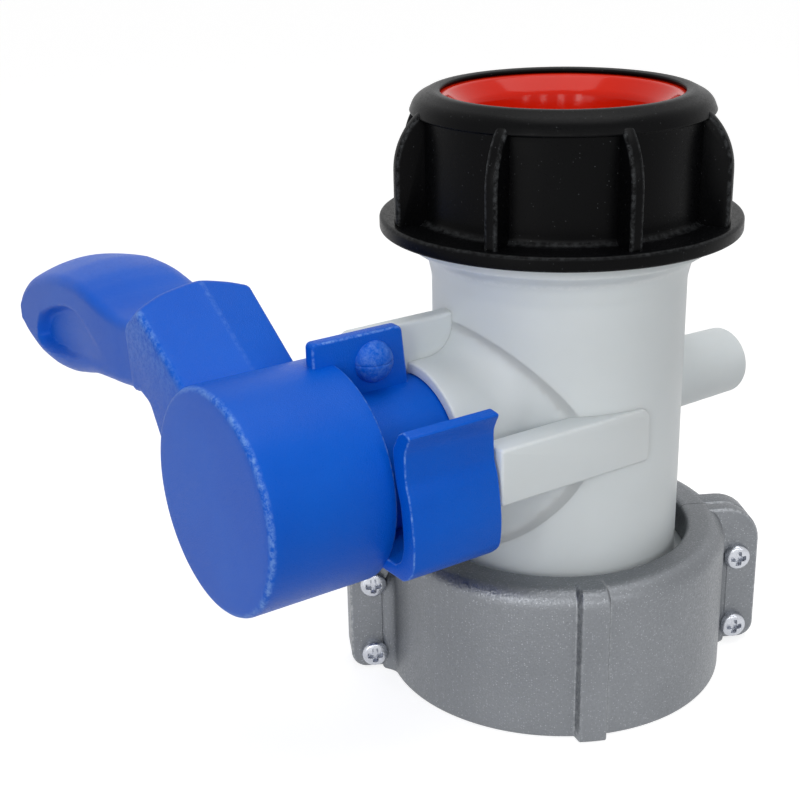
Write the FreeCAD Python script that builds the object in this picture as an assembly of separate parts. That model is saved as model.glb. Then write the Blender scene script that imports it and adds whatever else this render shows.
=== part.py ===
import FreeCAD, Part
import math
import os

# Drain valve of an intermediate bulk container: a plastic butterfly valve with a lever handle,
# a screw cap with a dished insert, and a two-piece die-cast collar that screws to the tank.
#
# Frame, in millimetres: +Z runs along the flow, from the tank to the outlet, and z = 0 is the
# collar's open end. The stem lies along X, with the handle at -X. The disc is shown shut.

Vector = FreeCAD.Vector
X_AXIS = Vector(1, 0, 0)
Z_AXIS = Vector(0, 0, 1)

# ---- clearances ----
RUNNING = 0.05          # radial gap of a journal in its bush or of a seal on its wall
LOOSE = 0.3             # gap between moving faces that only pass each other
SEAT = 0.1              # gap of a square, pin or screw in its hole

# ---- valve body ----
BORE_R = 24.5           # flow bore radius
BODY_WALL = 5.5
STEM_Z = 67.0           # height of the stem axis
TANK_FLANGE_BOTTOM = 23.0
TANK_FLANGE_THICK = 5.9
TANK_FLANGE_GAP = 0.6   # from the collar's bore to the flange that it pulls in
STOP_FLANGE_PROUD = 5.5
STOP_FLANGE_BOTTOM = 109.5
STOP_FLANGE_THICK = 3.0
FLARE_HEIGHT = 5.0      # the tube widens over this height under the stop flange
SPIGOT_WALL = 2.7       # outlet spigot at the root of its thread
SPIGOT_HEIGHT = 27.0
BOSS_R = 20.2           # stem boss on the handle side
BOSS_FILLET = 5.0
STUB_R = 8.9            # blind stub on the far side
STUB_TAPER = 0.35
STUB_FLOOR = 7.3        # solid end beyond the stem
STUB_EDGE = 1.6

# ---- latch bar and stop arm of the body ----
BAR_PROUD = 1.0         # how far it stands in front of the tube
BAR_THICK = 6.5
BAR_INSET = 1.4         # its left end, in from the boss's end
BAR_RIGHT = 2.0
BAR_BELOW = 4.3         # reach below the stem axis
BAR_ABOVE = 9.0
BAR_CORNER = 3.0
TONGUE_REACH = 3.7      # thin latch tongue that the hook closes over
TONGUE_THICK = 2.3
TONGUE_STEP = 0.3       # behind the bar's back
TONGUE_ROOT = 5.0       # how far it runs along the bar
TONGUE_ABOVE = 7.5
ARM_FRONT = 1.9
ARM_THICK = 4.0
ARM_REACH = 15.7        # beyond the boss's end
ARM_TOP = 29.6          # above the stem axis
ARM_CORNER = 2.0
ARM_ROOT = 1.5          # how far its foot clears the stem's bush

# ---- handle ----
HUB_R = 25.44
HUB_DEPTH = 30.5
HUB_STAND_OFF = 21.7    # from the boss's end to the hub
HUB_EDGE = 1.5
HUB_WALL = 3.0
HUB_FLOOR = 3.5
HUB_RIBS = 6
HUB_RIB_THICK = 2.0
HUB_RIB_SETBACK = 2.5
NECK_R = 17.3
NECK_DEPTH = 5.8        # how far the neck goes into the boss
LEVER_DEPTH = 29.9      # lever size along the stem
LEVER_TILT = 31.2       # degrees above +Y
ARM_FACE = 13.2         # lever's upper face from the stem axis, across its tilt
ARM_START = 10.0        # along the lever, inside the hub, to where it leaves the hub's curve
ARM_CORNER_AT = 47.5    # along the lever to the top corner, where the grip begins
ARM_BACK = -9.0         # lower side inside the hub, across the tilt
ARM_UNDERSIDE = ((38.5, 29.0), (38.0, 13.8), (33.9, 14.8), (29.2, 13.3), (23.5, 4.5))
ARM_CORNER_EDGE = 2.5
ARM_SIDE_EDGE = 1.6
ARM_CREASE = 18.0       # depth at which the upper face turns down to the valve's side
ARM_FACET_DROP = 2.4
GRIP_EDGE = 6.5
# grip sections: (y, height) at the top and at the bottom, and the share of the full depth
GRIP_SECTIONS = (
    ((33.0, 30.4), (33.0, 14.6), 1.0),
    ((45.5, 29.7), (45.2, 13.0), 1.0),
    ((54.0, 30.6), (52.5, 12.3), 1.0),
    ((61.0, 31.8), (60.2, 11.3), 1.0),
    ((67.0, 32.3), (67.0, 9.6), 1.0),
    ((75.0, 31.9), (75.5, 7.7), 1.0),
    ((83.0, 30.4), (84.5, 6.9), 1.0),
    ((91.1, 28.0), (92.8, 7.4), 1.0),
    ((98.3, 25.3), (99.0, 9.1), 0.97),
    ((103.0, 22.3), (103.2, 11.0), 0.88),
    ((105.4, 19.6), (105.2, 13.0), 0.76),
)
# sunk panel in the grip's outward face: (y, height) round its edge
POCKET_EDGE = (
    (94.6, 13.4), (91.5, 19.0), (84.5, 22.6), (74.0, 25.6), (66.0, 25.6), (58.5, 22.6), (51.0, 18.9),
    (44.0, 17.0), (50.0, 16.0), (62.0, 13.9), (75.0, 11.3), (86.0, 10.2), (92.5, 10.8),
)
POCKET_DEPTH = 1.4
FIN_ROOT = 5.5          # how far the fin runs into the hub
FIN_TOP_GAP = 4.2       # from the boss's end, at the fin's top and at its foot
FIN_FOOT_GAP = 2.5
FIN_FRONT = -2.2
FIN_BACK = 1.1
FIN_TOP = 30.8
FIN_CORNER = 1.5
FIN_SUNK = 2.0          # how deep its foot runs into hub and neck
NUB_GAP = 11.2          # nub's axis from the boss's end
NUB_HEIGHT = 24.0
NUB_R = 3.8
HOOK_OVERLAP = 0.8      # how far the hook passes beside the boss
HOOK_LOW_CORNER = 3.0
HOOK_TOP_CORNER = 1.5
HOOK_TIP = 18.6         # hook's highest point above the stem axis
HOOK_WEB_BOTTOM = -16.2
HOOK_WEB_TOP = -13.2
HOOK_WEB_END = -8.0     # where the web ends inside the neck
HOOK_ROOT = 4.0         # how deep the web runs into the hub
# the finger's front and back curves: (distance in front of the tongue's back, height)
HOOK_FRONT = (
    (6.1, 18.3), (8.4, 17.4), (6.6, 12.8), (6.8, 7.5), (8.2, 3.0), (9.5, -6.7), (9.1, -12.0), (7.0, -15.0),
    (5.0, HOOK_WEB_BOTTOM),
)
HOOK_BACK = (
    (2.2, HOOK_WEB_TOP), (4.3, -11.5), (5.4, -7.1), (4.8, 0.3), (3.2, 5.8), (2.1, 12.7), (3.2, 15.3),
    (4.3, 17.3),
)

# ---- stem, its bushes and seals ----
SQUARE_SIDE = 11.0      # drive square through handle and disc
STEM_IN_HUB = 2.0
JOURNAL_R = 8.0
BLIND_JOURNAL_R = 5.0
BUSH_WALL = 2.5
BUSH_LENGTH = 5.2
BLIND_BUSH_WALL = 1.55
BLIND_BUSH_LENGTH = 19.5
ORING_WIDTH = 2.0
ORING_DEPTH = 1.9
ORING_PITCH = 3.0
ORING_INSET = 1.9       # first ring's middle from the flow bore
ORING_BUSH_GAP = 1.6    # last ring's middle from its bush
ORING_BLIND_INSET = 2.7
ORING_BLIND_DEPTH = 1.2
ORING_BLIND_GAP = 3.8
RING_INSET = 1.9        # snap ring that keeps the neck in the boss, in from its end
RING_WIDTH = 1.5
RING_OPENING = 6.0
RING_BELOW = 1.5        # how deep it sits in the neck
RING_PROUD = 1.2        # how far it stands out into the boss
PIN_R = 1.6
PIN_GAP = 9.7           # pin's axis from the boss's end
PIN_TOP = 12.5          # blind end above the stem axis
PIN_SUNK = 0.6          # how far its lower end lies inside the neck

# ---- disc ----
DISC_EDGE_HALF = 2.4
DISC_CROWN_HALF = 3.6
DISC_HUB_R = 10.0
SEAL_THICK = 3.2
SEAL_HALF = 2.8
SEAL_TONGUE = 2.4       # how deep its inner tongue sits in the disc
SEAL_TONGUE_HALF = 0.9
DISC_SCREW_R = 1.5
DISC_SCREW_HEAD_R = 2.8
DISC_SCREW_HEAD = 1.6
DISC_SCREW_INSET = 4.7
DISC_SCREW_ANGLE = 56.5 # degrees from the stem

# ---- tank gasket ----
GASKET_WIDTH = 7.3
GASKET_INSET = 1.1      # in from the flange's edge
GASKET_PROUD = 2.5
GASKET_GROOVE = 1.2

# ---- cap ----
CAP_FLANGE_PROUD = 8.57     # how far the flange stands out from the skirt
CAP_FLANGE_THICK = 3.3
CAP_FLANGE_ROOT = 1.4       # fillet between flange and skirt
CAP_WALL = 3.2
CAP_THREAD = 3.1            # depth of the outlet thread, which the bore clears
CAP_LIP_THICK = 2.5
CAP_LIP_REACH = 1.9         # how far the top lip reaches in over the insert's rim
CAP_LIP_EDGE = 1.6
CAP_CREST_IN = 3.7          # from the skirt in to the top's highest ring
CAP_DOME_PROUD = 1.4        # the dome's edge stands out from the skirt
CAP_DOME_HEIGHT = 6.4
CAP_RIBS = 8
CAP_RIB_PROUD = 6.7
CAP_RIB_THICK = 3.0
CAP_RIB_STRAIGHT = 11.8     # from the flange up to where a rib starts to curve inwards
CAP_RIB_SWEEP = 52.0        # angle of that curve, degrees
CAP_RIB_START = -151.5      # azimuth of one rib, degrees
CAP_RIB_EDGE = 0.9
CAP_GAP = 0.4               # from the stop flange to the cap when it is tight
CAP_GASKET_THICK = 1.5
INSERT_RIM_THICK = 2.2
INSERT_DEPTH = 17.0         # from the rim's top down to the underside of the floor
INSERT_GAP = 0.5            # from the flow bore to the dish
INSERT_WALL = 1.8
INSERT_MOUTH_WIDER = 2.4    # the mouth's radius over the wall's
INSERT_MOUTH_DEPTH = 4.0
INSERT_FLOOR_CORNER = 4.0

# ---- collar ----
COLLAR_BORE_R = 37.5    # root of the tank thread
COLLAR_WALL = 4.7
COLLAR_LIP_GAP = 2.7    # from the body's tube to the collar's lip
COLLAR_THREAD_LENGTH = 20.0
COLLAR_RELIEF = 0.4     # how much wider the bore is above the thread, round the tank flange
COLLAR_LIP_THICK = 8.8
COLLAR_SHOULDER = 9.0
COLLAR_FOOT_EDGE = 0.8
COLLAR_RIB_PROUD = 2.6
COLLAR_RIB_RISE = 0.25  # how much the rib lifts the top, as a share of how far it stands proud
COLLAR_RIB_ROUND = 0.5  # how much it widens the shoulder's radius
COLLAR_RIB_THICK = 7.0
SPLIT_AZIMUTH = -27.25  # degrees, direction of one ear
SPLIT_GAP = 0.2
EAR_PROUD = 10.2
EAR_BOTTOM = 0.8
EAR_LOW_CORNER = 4.0
EAR_TOP_CORNER = 10.0
EAR_FRONT = 4.3         # thickness on the screw-head side
EAR_REAR = 6.0
SCREW_INSET = 5.7       # screw axis in from the ear's edge
SCREW_HEIGHTS = (5.05, 24.6)
SCREW_R = 2.0
SCREW_HEAD_R = 3.3
SCREW_HEAD = 2.4
SCREW_HEAD_ROUND = 1.2

# ---- sizes worked out from the above ----
# body and collar, outwards from the bore
BODY_R = BORE_R + BODY_WALL
STOP_FLANGE_R = BODY_R + STOP_FLANGE_PROUD
STOP_FLANGE_TOP = STOP_FLANGE_BOTTOM + STOP_FLANGE_THICK
FLARE_START = STOP_FLANGE_BOTTOM - FLARE_HEIGHT
SPIGOT_CORE_R = BORE_R + SPIGOT_WALL
SPIGOT_TOP = STOP_FLANGE_TOP + SPIGOT_HEIGHT
TANK_FLANGE_TOP = TANK_FLANGE_BOTTOM + TANK_FLANGE_THICK
TANK_FLANGE_R = COLLAR_BORE_R - TANK_FLANGE_GAP
GASKET_OUTER_R = TANK_FLANGE_R - GASKET_INSET
GASKET_INNER_R = GASKET_OUTER_R - GASKET_WIDTH
GASKET_BOTTOM = TANK_FLANGE_BOTTOM - GASKET_PROUD
COLLAR_R = COLLAR_BORE_R + COLLAR_WALL
COLLAR_LIP_R = BODY_R + COLLAR_LIP_GAP
COLLAR_LIP_BOTTOM = TANK_FLANGE_TOP + LOOSE
COLLAR_TOP = COLLAR_LIP_BOTTOM + COLLAR_LIP_THICK
EAR_R = COLLAR_R + EAR_PROUD
SCREW_AT_R = EAR_R - SCREW_INSET

# along the stem to the handle: seals, bush, neck, boss, hub
ORING_INNER_X = -BORE_R - ORING_INSET
ORING_OUTER_X = ORING_INNER_X - ORING_PITCH
BUSH_END = ORING_OUTER_X - ORING_BUSH_GAP
NECK_SEAT = BUSH_END - BUSH_LENGTH
NECK_END = NECK_SEAT - LOOSE
BOSS_END = NECK_END - NECK_DEPTH
HUB_INNER = BOSS_END - HUB_STAND_OFF
HUB_OUTER = HUB_INNER - HUB_DEPTH
LEVER_INNER = HUB_OUTER + LEVER_DEPTH
LEVER_MIDDLE = HUB_OUTER + LEVER_DEPTH / 2
BUSH_R = JOURNAL_R + BUSH_WALL
RING_LEFT = BOSS_END + RING_INSET
RING_INNER_R = NECK_R - RING_BELOW
RING_OUTER_R = NECK_R + RING_PROUD
STEM_LEFT = HUB_INNER + STEM_IN_HUB
PIN_X = BOSS_END - PIN_GAP
ARM_LEFT = BOSS_END - ARM_REACH
NUB_X = BOSS_END - NUB_GAP
HOOK_RIGHT = BOSS_END + HOOK_OVERLAP

# latch bar and tongue
BAR_LEFT = BOSS_END + BAR_INSET
BAR_FRONT = -BODY_R - BAR_PROUD
BAR_BACK = BAR_FRONT + BAR_THICK
TONGUE_LEFT = BAR_LEFT - TONGUE_REACH
TONGUE_FRONT = BAR_BACK - TONGUE_STEP
TONGUE_BACK = TONGUE_FRONT + TONGUE_THICK

# along the stem to the blind stub
ORING_BLIND_X = BORE_R + ORING_BLIND_INSET
BLIND_BUSH_START = ORING_BLIND_X + ORING_BLIND_GAP
STEM_RIGHT = BLIND_BUSH_START + BLIND_BUSH_LENGTH
STUB_END = STEM_RIGHT + STUB_FLOOR
STUB_TIP_R = STUB_R - STUB_TAPER
BLIND_BUSH_R = BLIND_JOURNAL_R + BLIND_BUSH_WALL
SQUARE_RIGHT = math.sqrt(BORE_R ** 2 - 2 * (SQUARE_SIDE / 2) ** 2) - LOOSE

# disc
SEAL_R = BORE_R - LOOSE
DISC_R = SEAL_R - SEAL_THICK
SEAL_TONGUE_R = DISC_R - SEAL_TONGUE
DISC_SCREW_X = (DISC_R - DISC_SCREW_INSET) * math.cos(math.radians(DISC_SCREW_ANGLE))
DISC_SCREW_Y = (DISC_R - DISC_SCREW_INSET) * math.sin(math.radians(DISC_SCREW_ANGLE))

# cap, outwards from the spigot and upwards from its stop flange
CAP_BORE_R = SPIGOT_CORE_R + CAP_THREAD
CAP_SKIRT_R = CAP_BORE_R + CAP_WALL
CAP_FLANGE_R = CAP_SKIRT_R + CAP_FLANGE_PROUD
CAP_DOME_R = CAP_SKIRT_R + CAP_DOME_PROUD
CAP_CREST_R = CAP_SKIRT_R - CAP_CREST_IN
CAP_RIB_R = CAP_SKIRT_R + CAP_RIB_PROUD
CAP_RIB_CURVE = CAP_RIB_PROUD / (1 - math.cos(math.radians(CAP_RIB_SWEEP)))
CAP_BOTTOM = STOP_FLANGE_TOP + CAP_GAP
CAP_FLANGE_TOP = CAP_BOTTOM + CAP_FLANGE_THICK
CAP_RIB_BEND = CAP_FLANGE_TOP + CAP_RIB_STRAIGHT
INSERT_RIM_R = CAP_BORE_R - LOOSE
INSERT_RIM_BOTTOM = SPIGOT_TOP + CAP_GASKET_THICK
INSERT_RIM_TOP = INSERT_RIM_BOTTOM + INSERT_RIM_THICK
INSERT_WALL_R = BORE_R - INSERT_GAP
INSERT_MOUTH_R = INSERT_WALL_R + INSERT_MOUTH_WIDER
INSERT_FLOOR = INSERT_RIM_TOP - INSERT_DEPTH
CAP_OPENING_R = INSERT_RIM_R - CAP_LIP_REACH
CAP_LIP_BOTTOM = INSERT_RIM_TOP + LOOSE
CAP_CREST_Z = CAP_LIP_BOTTOM + CAP_LIP_THICK
CAP_DOME_EDGE = CAP_CREST_Z - CAP_DOME_HEIGHT
BEYOND = 2 * (CAP_CREST_Z - HUB_OUTER)  # reach of a cutting block that clears the whole valve


def save(name, shape):
    """Write one node as its own STEP file."""
    shape.exportStep(os.path.join("parts", name + ".step"))
    print(name, len(shape.Solids), "solid(s), volume", round(shape.Volume, 1))


def rod_x(radius, start, end):
    """Cylinder about the stem axis, from x = start to x = end."""
    return Part.makeCylinder(radius, end - start, Vector(start, 0, STEM_Z), X_AXIS)


def tube_x(outer, inner, start, end):
    """Ring about the stem axis."""
    return rod_x(outer, start, end).cut(rod_x(inner, start - 1, end + 1))


def rod_z(radius, bottom, top, x=0.0, y=0.0):
    """Upright cylinder."""
    return Part.makeCylinder(radius, top - bottom, Vector(x, y, bottom), Z_AXIS)


def tube_z(outer, inner, bottom, top):
    """Upright ring about the flow axis."""
    return rod_z(outer, bottom, top).cut(rod_z(inner, bottom - 1, top + 1))


def block(low, high):
    """Box between two corners."""
    size = [high[i] - low[i] for i in range(3)]
    return Part.makeBox(size[0], size[1], size[2], Vector(*low))


def square_bar(side, start, end):
    """Square bar along the stem axis."""
    half = side / 2
    return block((start, -half, STEM_Z - half), (end, half, STEM_Z + half))


def outline(steps, point):
    """Closed wire: each step is a point to go to, or (through, to) for an arc; point maps a pair to space."""
    edges = []
    here = steps[0]
    for step in list(steps[1:]) + [steps[0]]:
        if isinstance(step[0], tuple):
            through, to = step
            edges.append(Part.Arc(point(here), point(through), point(to)).toShape())
        else:
            to = step
            if (point(here) - point(to)).Length < 1e-6:
                continue
            edges.append(Part.LineSegment(point(here), point(to)).toShape())
        here = to
    return Part.Wire(edges)


def corner_arc(corner, radius, into, out):
    """Arc step that rounds a right-angled corner; into and out are the unit directions of travel."""
    spread = 1 - math.sqrt(0.5)
    start = tuple(corner[i] - radius * into[i] for i in range(2))
    end = tuple(corner[i] + radius * out[i] for i in range(2))
    middle = tuple(corner[i] - radius * spread * into[i] + radius * spread * out[i] for i in range(2))
    return start, (middle, end)


def turned(steps):
    """Solid of revolution about the flow axis from steps given as (radius, z)."""
    wire = outline(steps, lambda pair: Vector(pair[0], 0, pair[1]))
    return Part.Face(wire).revolve(Vector(0, 0, 0), Z_AXIS, 360)


def turned_x(steps):
    """Solid of revolution about the stem axis from steps given as (x, radius)."""
    wire = outline(steps, lambda pair: Vector(pair[0], 0, STEM_Z + pair[1]))
    return Part.Face(wire).revolve(Vector(0, 0, STEM_Z), X_AXIS, 360)


def smooth(points):
    """One curved edge through points."""
    curve = Part.BSplineCurve()
    curve.interpolate(points)
    return curve.toShape()


def edges_along(shape, direction, where):
    """Straight edges parallel to a direction whose middle passes the test."""
    found = []
    for edge in shape.Edges:
        if not isinstance(edge.Curve, (Part.Line, Part.LineSegment)):
            continue
        if abs(edge.tangentAt(edge.FirstParameter).dot(direction)) > 0.999 and where(edge.CenterOfMass):
            found.append(edge)
    return found


# ---------------------------------------------------------------- valve body


def body_outside():
    """Tube with its tank flange, stop flange, outlet spigot, stem boss and blind stub."""
    tube = rod_z(BODY_R, TANK_FLANGE_BOTTOM, FLARE_START)
    boss = rod_x(BOSS_R, BOSS_END, 0)
    shell = tube.fuse(boss).removeSplitter()
    plain = (Part.Line, Part.LineSegment, Part.Circle)
    seam = [edge for edge in shell.Edges if not isinstance(edge.Curve, plain)]
    shell = shell.makeFillet(BOSS_FILLET, seam)
    spread = STOP_FLANGE_R - BODY_R
    outlet = turned([
        (0, FLARE_START),
        (BODY_R, FLARE_START),
        ((BODY_R + 0.27 * spread, FLARE_START + 0.6 * FLARE_HEIGHT), (STOP_FLANGE_R, STOP_FLANGE_BOTTOM)),
        (STOP_FLANGE_R, STOP_FLANGE_TOP),
        (SPIGOT_CORE_R, STOP_FLANGE_TOP),
        (SPIGOT_CORE_R, SPIGOT_TOP),
        (0, SPIGOT_TOP),
    ])
    flange = rod_z(TANK_FLANGE_R, TANK_FLANGE_BOTTOM, TANK_FLANGE_TOP)
    stub = turned_x([
        (0, 0),
        (0, STUB_R),
        (BODY_R, STUB_R),
        (STUB_END - STUB_EDGE, STUB_TIP_R),
        ((STUB_END - 0.3 * STUB_EDGE, STUB_TIP_R - 0.3 * STUB_EDGE), (STUB_END, STUB_TIP_R - STUB_EDGE)),
        (STUB_END, 0),
    ])
    return shell.multiFuse([outlet, flange, stub])


def latch_bar():
    """Front bar with a rounded end, and the thin tongue that the handle's hook closes over."""
    bar = block((BAR_LEFT, BAR_FRONT, STEM_Z - BAR_BELOW), (BAR_RIGHT, BAR_BACK, STEM_Z + BAR_ABOVE))
    y_axis = Vector(0, 1, 0)
    top_right = edges_along(bar, y_axis, lambda at: at.x > BAR_RIGHT - 1 and at.z > STEM_Z)
    bar = bar.makeFillet(BAR_CORNER, top_right)
    tongue = block((TONGUE_LEFT, TONGUE_FRONT, STEM_Z - BAR_BELOW),
                   (BAR_LEFT + TONGUE_ROOT, TONGUE_BACK, STEM_Z + TONGUE_ABOVE))
    return bar.fuse(tongue)


def stop_arm():
    """Upright arm on top of the boss that the handle's fin rests against when the valve is shut."""
    over_neck = STEM_Z + NECK_R + 2.5 * LOOSE
    in_wall = -BORE_R - BODY_WALL / 3
    point = lambda pair: Vector(pair[0], ARM_FRONT, pair[1])
    top = STEM_Z + ARM_TOP
    start, arc = corner_arc((ARM_LEFT, top), ARM_CORNER, (0, 1), (1, 0))
    wire = outline([
        (ARM_LEFT, over_neck),
        start,
        arc,
        (in_wall, top),
        (in_wall, STEM_Z + BUSH_R + ARM_ROOT),
        (BOSS_END + LOOSE, over_neck),
    ], point)
    return Part.Face(wire).extrude(Vector(0, ARM_THICK, 0))


def valve_body():
    """The white moulding, bored for flow, stem, bushes, snap ring and gasket."""
    solid = body_outside().multiFuse([latch_bar(), stop_arm()])
    cuts = [
        rod_z(BORE_R, TANK_FLANGE_BOTTOM - 1, SPIGOT_TOP + 1),
        rod_x(NECK_R + LOOSE, BOSS_END, NECK_SEAT),
        rod_x(BUSH_R, NECK_SEAT - 1, BUSH_END),
        rod_x(JOURNAL_R + RUNNING, BUSH_END - 1, 0),
        rod_x(BLIND_JOURNAL_R + RUNNING, 0, STEM_RIGHT + LOOSE),
        rod_x(BLIND_BUSH_R, BLIND_BUSH_START, STEM_RIGHT + LOOSE),
        rod_x(RING_OUTER_R + SEAT, RING_LEFT - SEAT, RING_LEFT + RING_WIDTH + SEAT),
        tube_z(GASKET_OUTER_R, GASKET_INNER_R, TANK_FLANGE_BOTTOM - 1, TANK_FLANGE_BOTTOM + GASKET_GROOVE),
    ]
    for cut in cuts:
        solid = solid.cut(cut)
    return solid


def tank_gasket():
    """Flat ring that seals the flange on the tank's nozzle."""
    return tube_z(GASKET_OUTER_R, GASKET_INNER_R, GASKET_BOTTOM, TANK_FLANGE_BOTTOM + GASKET_GROOVE)


# ---------------------------------------------------------------- handle


def hub():
    """Round hub with a rounded outer edge, hollow behind, with radial ribs, and its neck."""
    radius = HUB_R - HUB_EDGE
    middle = HUB_EDGE * (1 - math.sqrt(0.5))
    drum = turned_x([
        (HUB_OUTER, 0),
        (HUB_OUTER, radius),
        ((HUB_OUTER + middle, HUB_R - middle), (HUB_OUTER + HUB_EDGE, HUB_R)),
        (HUB_INNER, HUB_R),
        (HUB_INNER, 0),
    ])
    return drum.fuse(rod_x(NECK_R, HUB_INNER - 1, NECK_END))


def hub_hollow():
    """Ring-shaped hollow between hub and neck, less the radial ribs."""
    floor = HUB_OUTER + HUB_FLOOR
    hollow = tube_x(HUB_R - HUB_WALL, NECK_R, floor, HUB_INNER + 1)
    for number in range(HUB_RIBS):
        low = Vector(floor, 0, STEM_Z - HUB_RIB_THICK / 2)
        rib = block(low, (HUB_INNER - HUB_RIB_SETBACK, HUB_R, STEM_Z + HUB_RIB_THICK / 2))
        rib.rotate(Vector(0, 0, STEM_Z), X_AXIS, (number + 0.5) * 360 / HUB_RIBS)
        hollow = hollow.cut(rib)
    return hollow


def along_lever(along, across):
    """Point (y, height) at a distance along the lever and across its tilt, from the stem axis."""
    tilt = math.radians(LEVER_TILT)
    y = along * math.cos(tilt) - across * math.sin(tilt)
    height = along * math.sin(tilt) + across * math.cos(tilt)
    return y, height


def arm_facet():
    """Wedge that turns the arm's upper face down towards the valve, past the crease."""
    slope = ARM_FACET_DROP / (LEVER_DEPTH - ARM_CREASE)
    end = LEVER_DEPTH + 1
    low = ARM_FACE - slope * (end - ARM_CREASE)
    above = ARM_FACE + 1
    wedge = []
    for depth, across in ((ARM_CREASE, ARM_FACE), (end, low), (end, above), (ARM_CREASE, above)):
        y, height = along_lever(ARM_START, across)
        wedge.append(Vector(HUB_OUTER + depth, y, STEM_Z + height))
    wire = Part.makePolygon(wedge + wedge[:1])
    y, height = along_lever(2 * ARM_CORNER_AT, 0)
    return Part.Face(wire).extrude(Vector(0, y, height))


def lever_arm():
    """Straight arm between hub and grip: a flat upper face with a crease, and rounded outer edges."""
    root = along_lever(ARM_START, ARM_FACE)
    corner = along_lever(ARM_CORNER_AT, ARM_FACE)
    steps = [along_lever(ARM_START, ARM_BACK), root, corner] + list(ARM_UNDERSIDE)
    wire = outline(steps, lambda pair: Vector(HUB_OUTER, pair[0], STEM_Z + pair[1]))
    arm = Part.Face(wire).extrude(Vector(LEVER_DEPTH, 0, 0))
    at_corner = Vector(LEVER_MIDDLE, corner[0], STEM_Z + corner[1])
    top = edges_along(arm, X_AXIS, lambda at: (at - at_corner).Length < 0.1)
    arm = arm.makeFillet(ARM_CORNER_EDGE, top)
    outward = [face for face in arm.Faces if abs(face.CenterOfMass.x - HUB_OUTER) < 0.01]
    lowest = STEM_Z + ARM_UNDERSIDE[1][1] + 1
    rim = [edge for face in outward for edge in face.Edges if edge.BoundBox.ZMin > lowest]
    return arm.makeFillet(ARM_SIDE_EDGE, rim).cut(arm_facet())


def grip_section(top, bottom, half_depth):
    """Rounded rectangle across the grip between a top and a bottom point, given as (y, height)."""
    high = Vector(0, top[0], top[1])
    low = Vector(0, bottom[0], bottom[1])
    middle = (high + low) / 2
    half = (high - low).Length / 2
    upward = (high - low) / (2 * half)
    edge = min(GRIP_EDGE, 0.85 * half, 0.85 * half_depth)

    centre = middle + Vector(LEVER_MIDDLE, 0, STEM_Z)

    def point(pair):
        return centre + Vector(pair[0], 0, 0) + upward * pair[1]

    steps = []
    for side_x, side_z, into, out in ((-1, 1, (-1, 0), (0, -1)), (-1, -1, (0, -1), (1, 0)),
                                      (1, -1, (1, 0), (0, 1)), (1, 1, (0, 1), (-1, 0))):
        steps.extend(corner_arc((side_x * half_depth, side_z * half), edge, into, out))
    return outline(steps, point)


def grip():
    """Hand grip: rounded sections along the lever, with shallow finger hollows beneath and a round tip."""
    wires = [grip_section(top, bottom, share * LEVER_DEPTH / 2) for top, bottom, share in GRIP_SECTIONS]
    return Part.makeLoft(wires, True, False)


def grip_pocket():
    """Shallow sunk panel in the grip's outward face."""
    points = [Vector(HUB_OUTER - 1, y, STEM_Z + height) for y, height in POCKET_EDGE]
    curve = Part.BSplineCurve()
    curve.interpolate(points, PeriodicFlag=True)
    return Part.Face(Part.Wire(curve.toShape())).extrude(Vector(1 + POCKET_DEPTH, 0, 0))


def fin():
    """Upright fin on top of the neck, with a round nub on its front face."""
    left = HUB_INNER - FIN_ROOT
    start, arc = corner_arc((BOSS_END - FIN_TOP_GAP, FIN_TOP), FIN_CORNER, (1, 0), (0, -1))
    sunk = NECK_R - FIN_SUNK
    steps = [(left, HUB_R - FIN_SUNK), (left, FIN_TOP), start, arc,
             (BOSS_END - FIN_FOOT_GAP, sunk), (HUB_INNER - 1, sunk)]
    wire = outline(steps, lambda pair: Vector(pair[0], FIN_FRONT, STEM_Z + pair[1]))
    plate = Part.Face(wire).extrude(Vector(0, FIN_BACK - FIN_FRONT, 0))
    nub = Part.makeSphere(NUB_R, Vector(NUB_X, FIN_FRONT, STEM_Z + NUB_HEIGHT))
    nub = nub.common(block((-BEYOND, -BEYOND, STEM_Z), (BEYOND, (FIN_FRONT + FIN_BACK) / 2, BEYOND)))
    return plate.fuse(nub)


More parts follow.
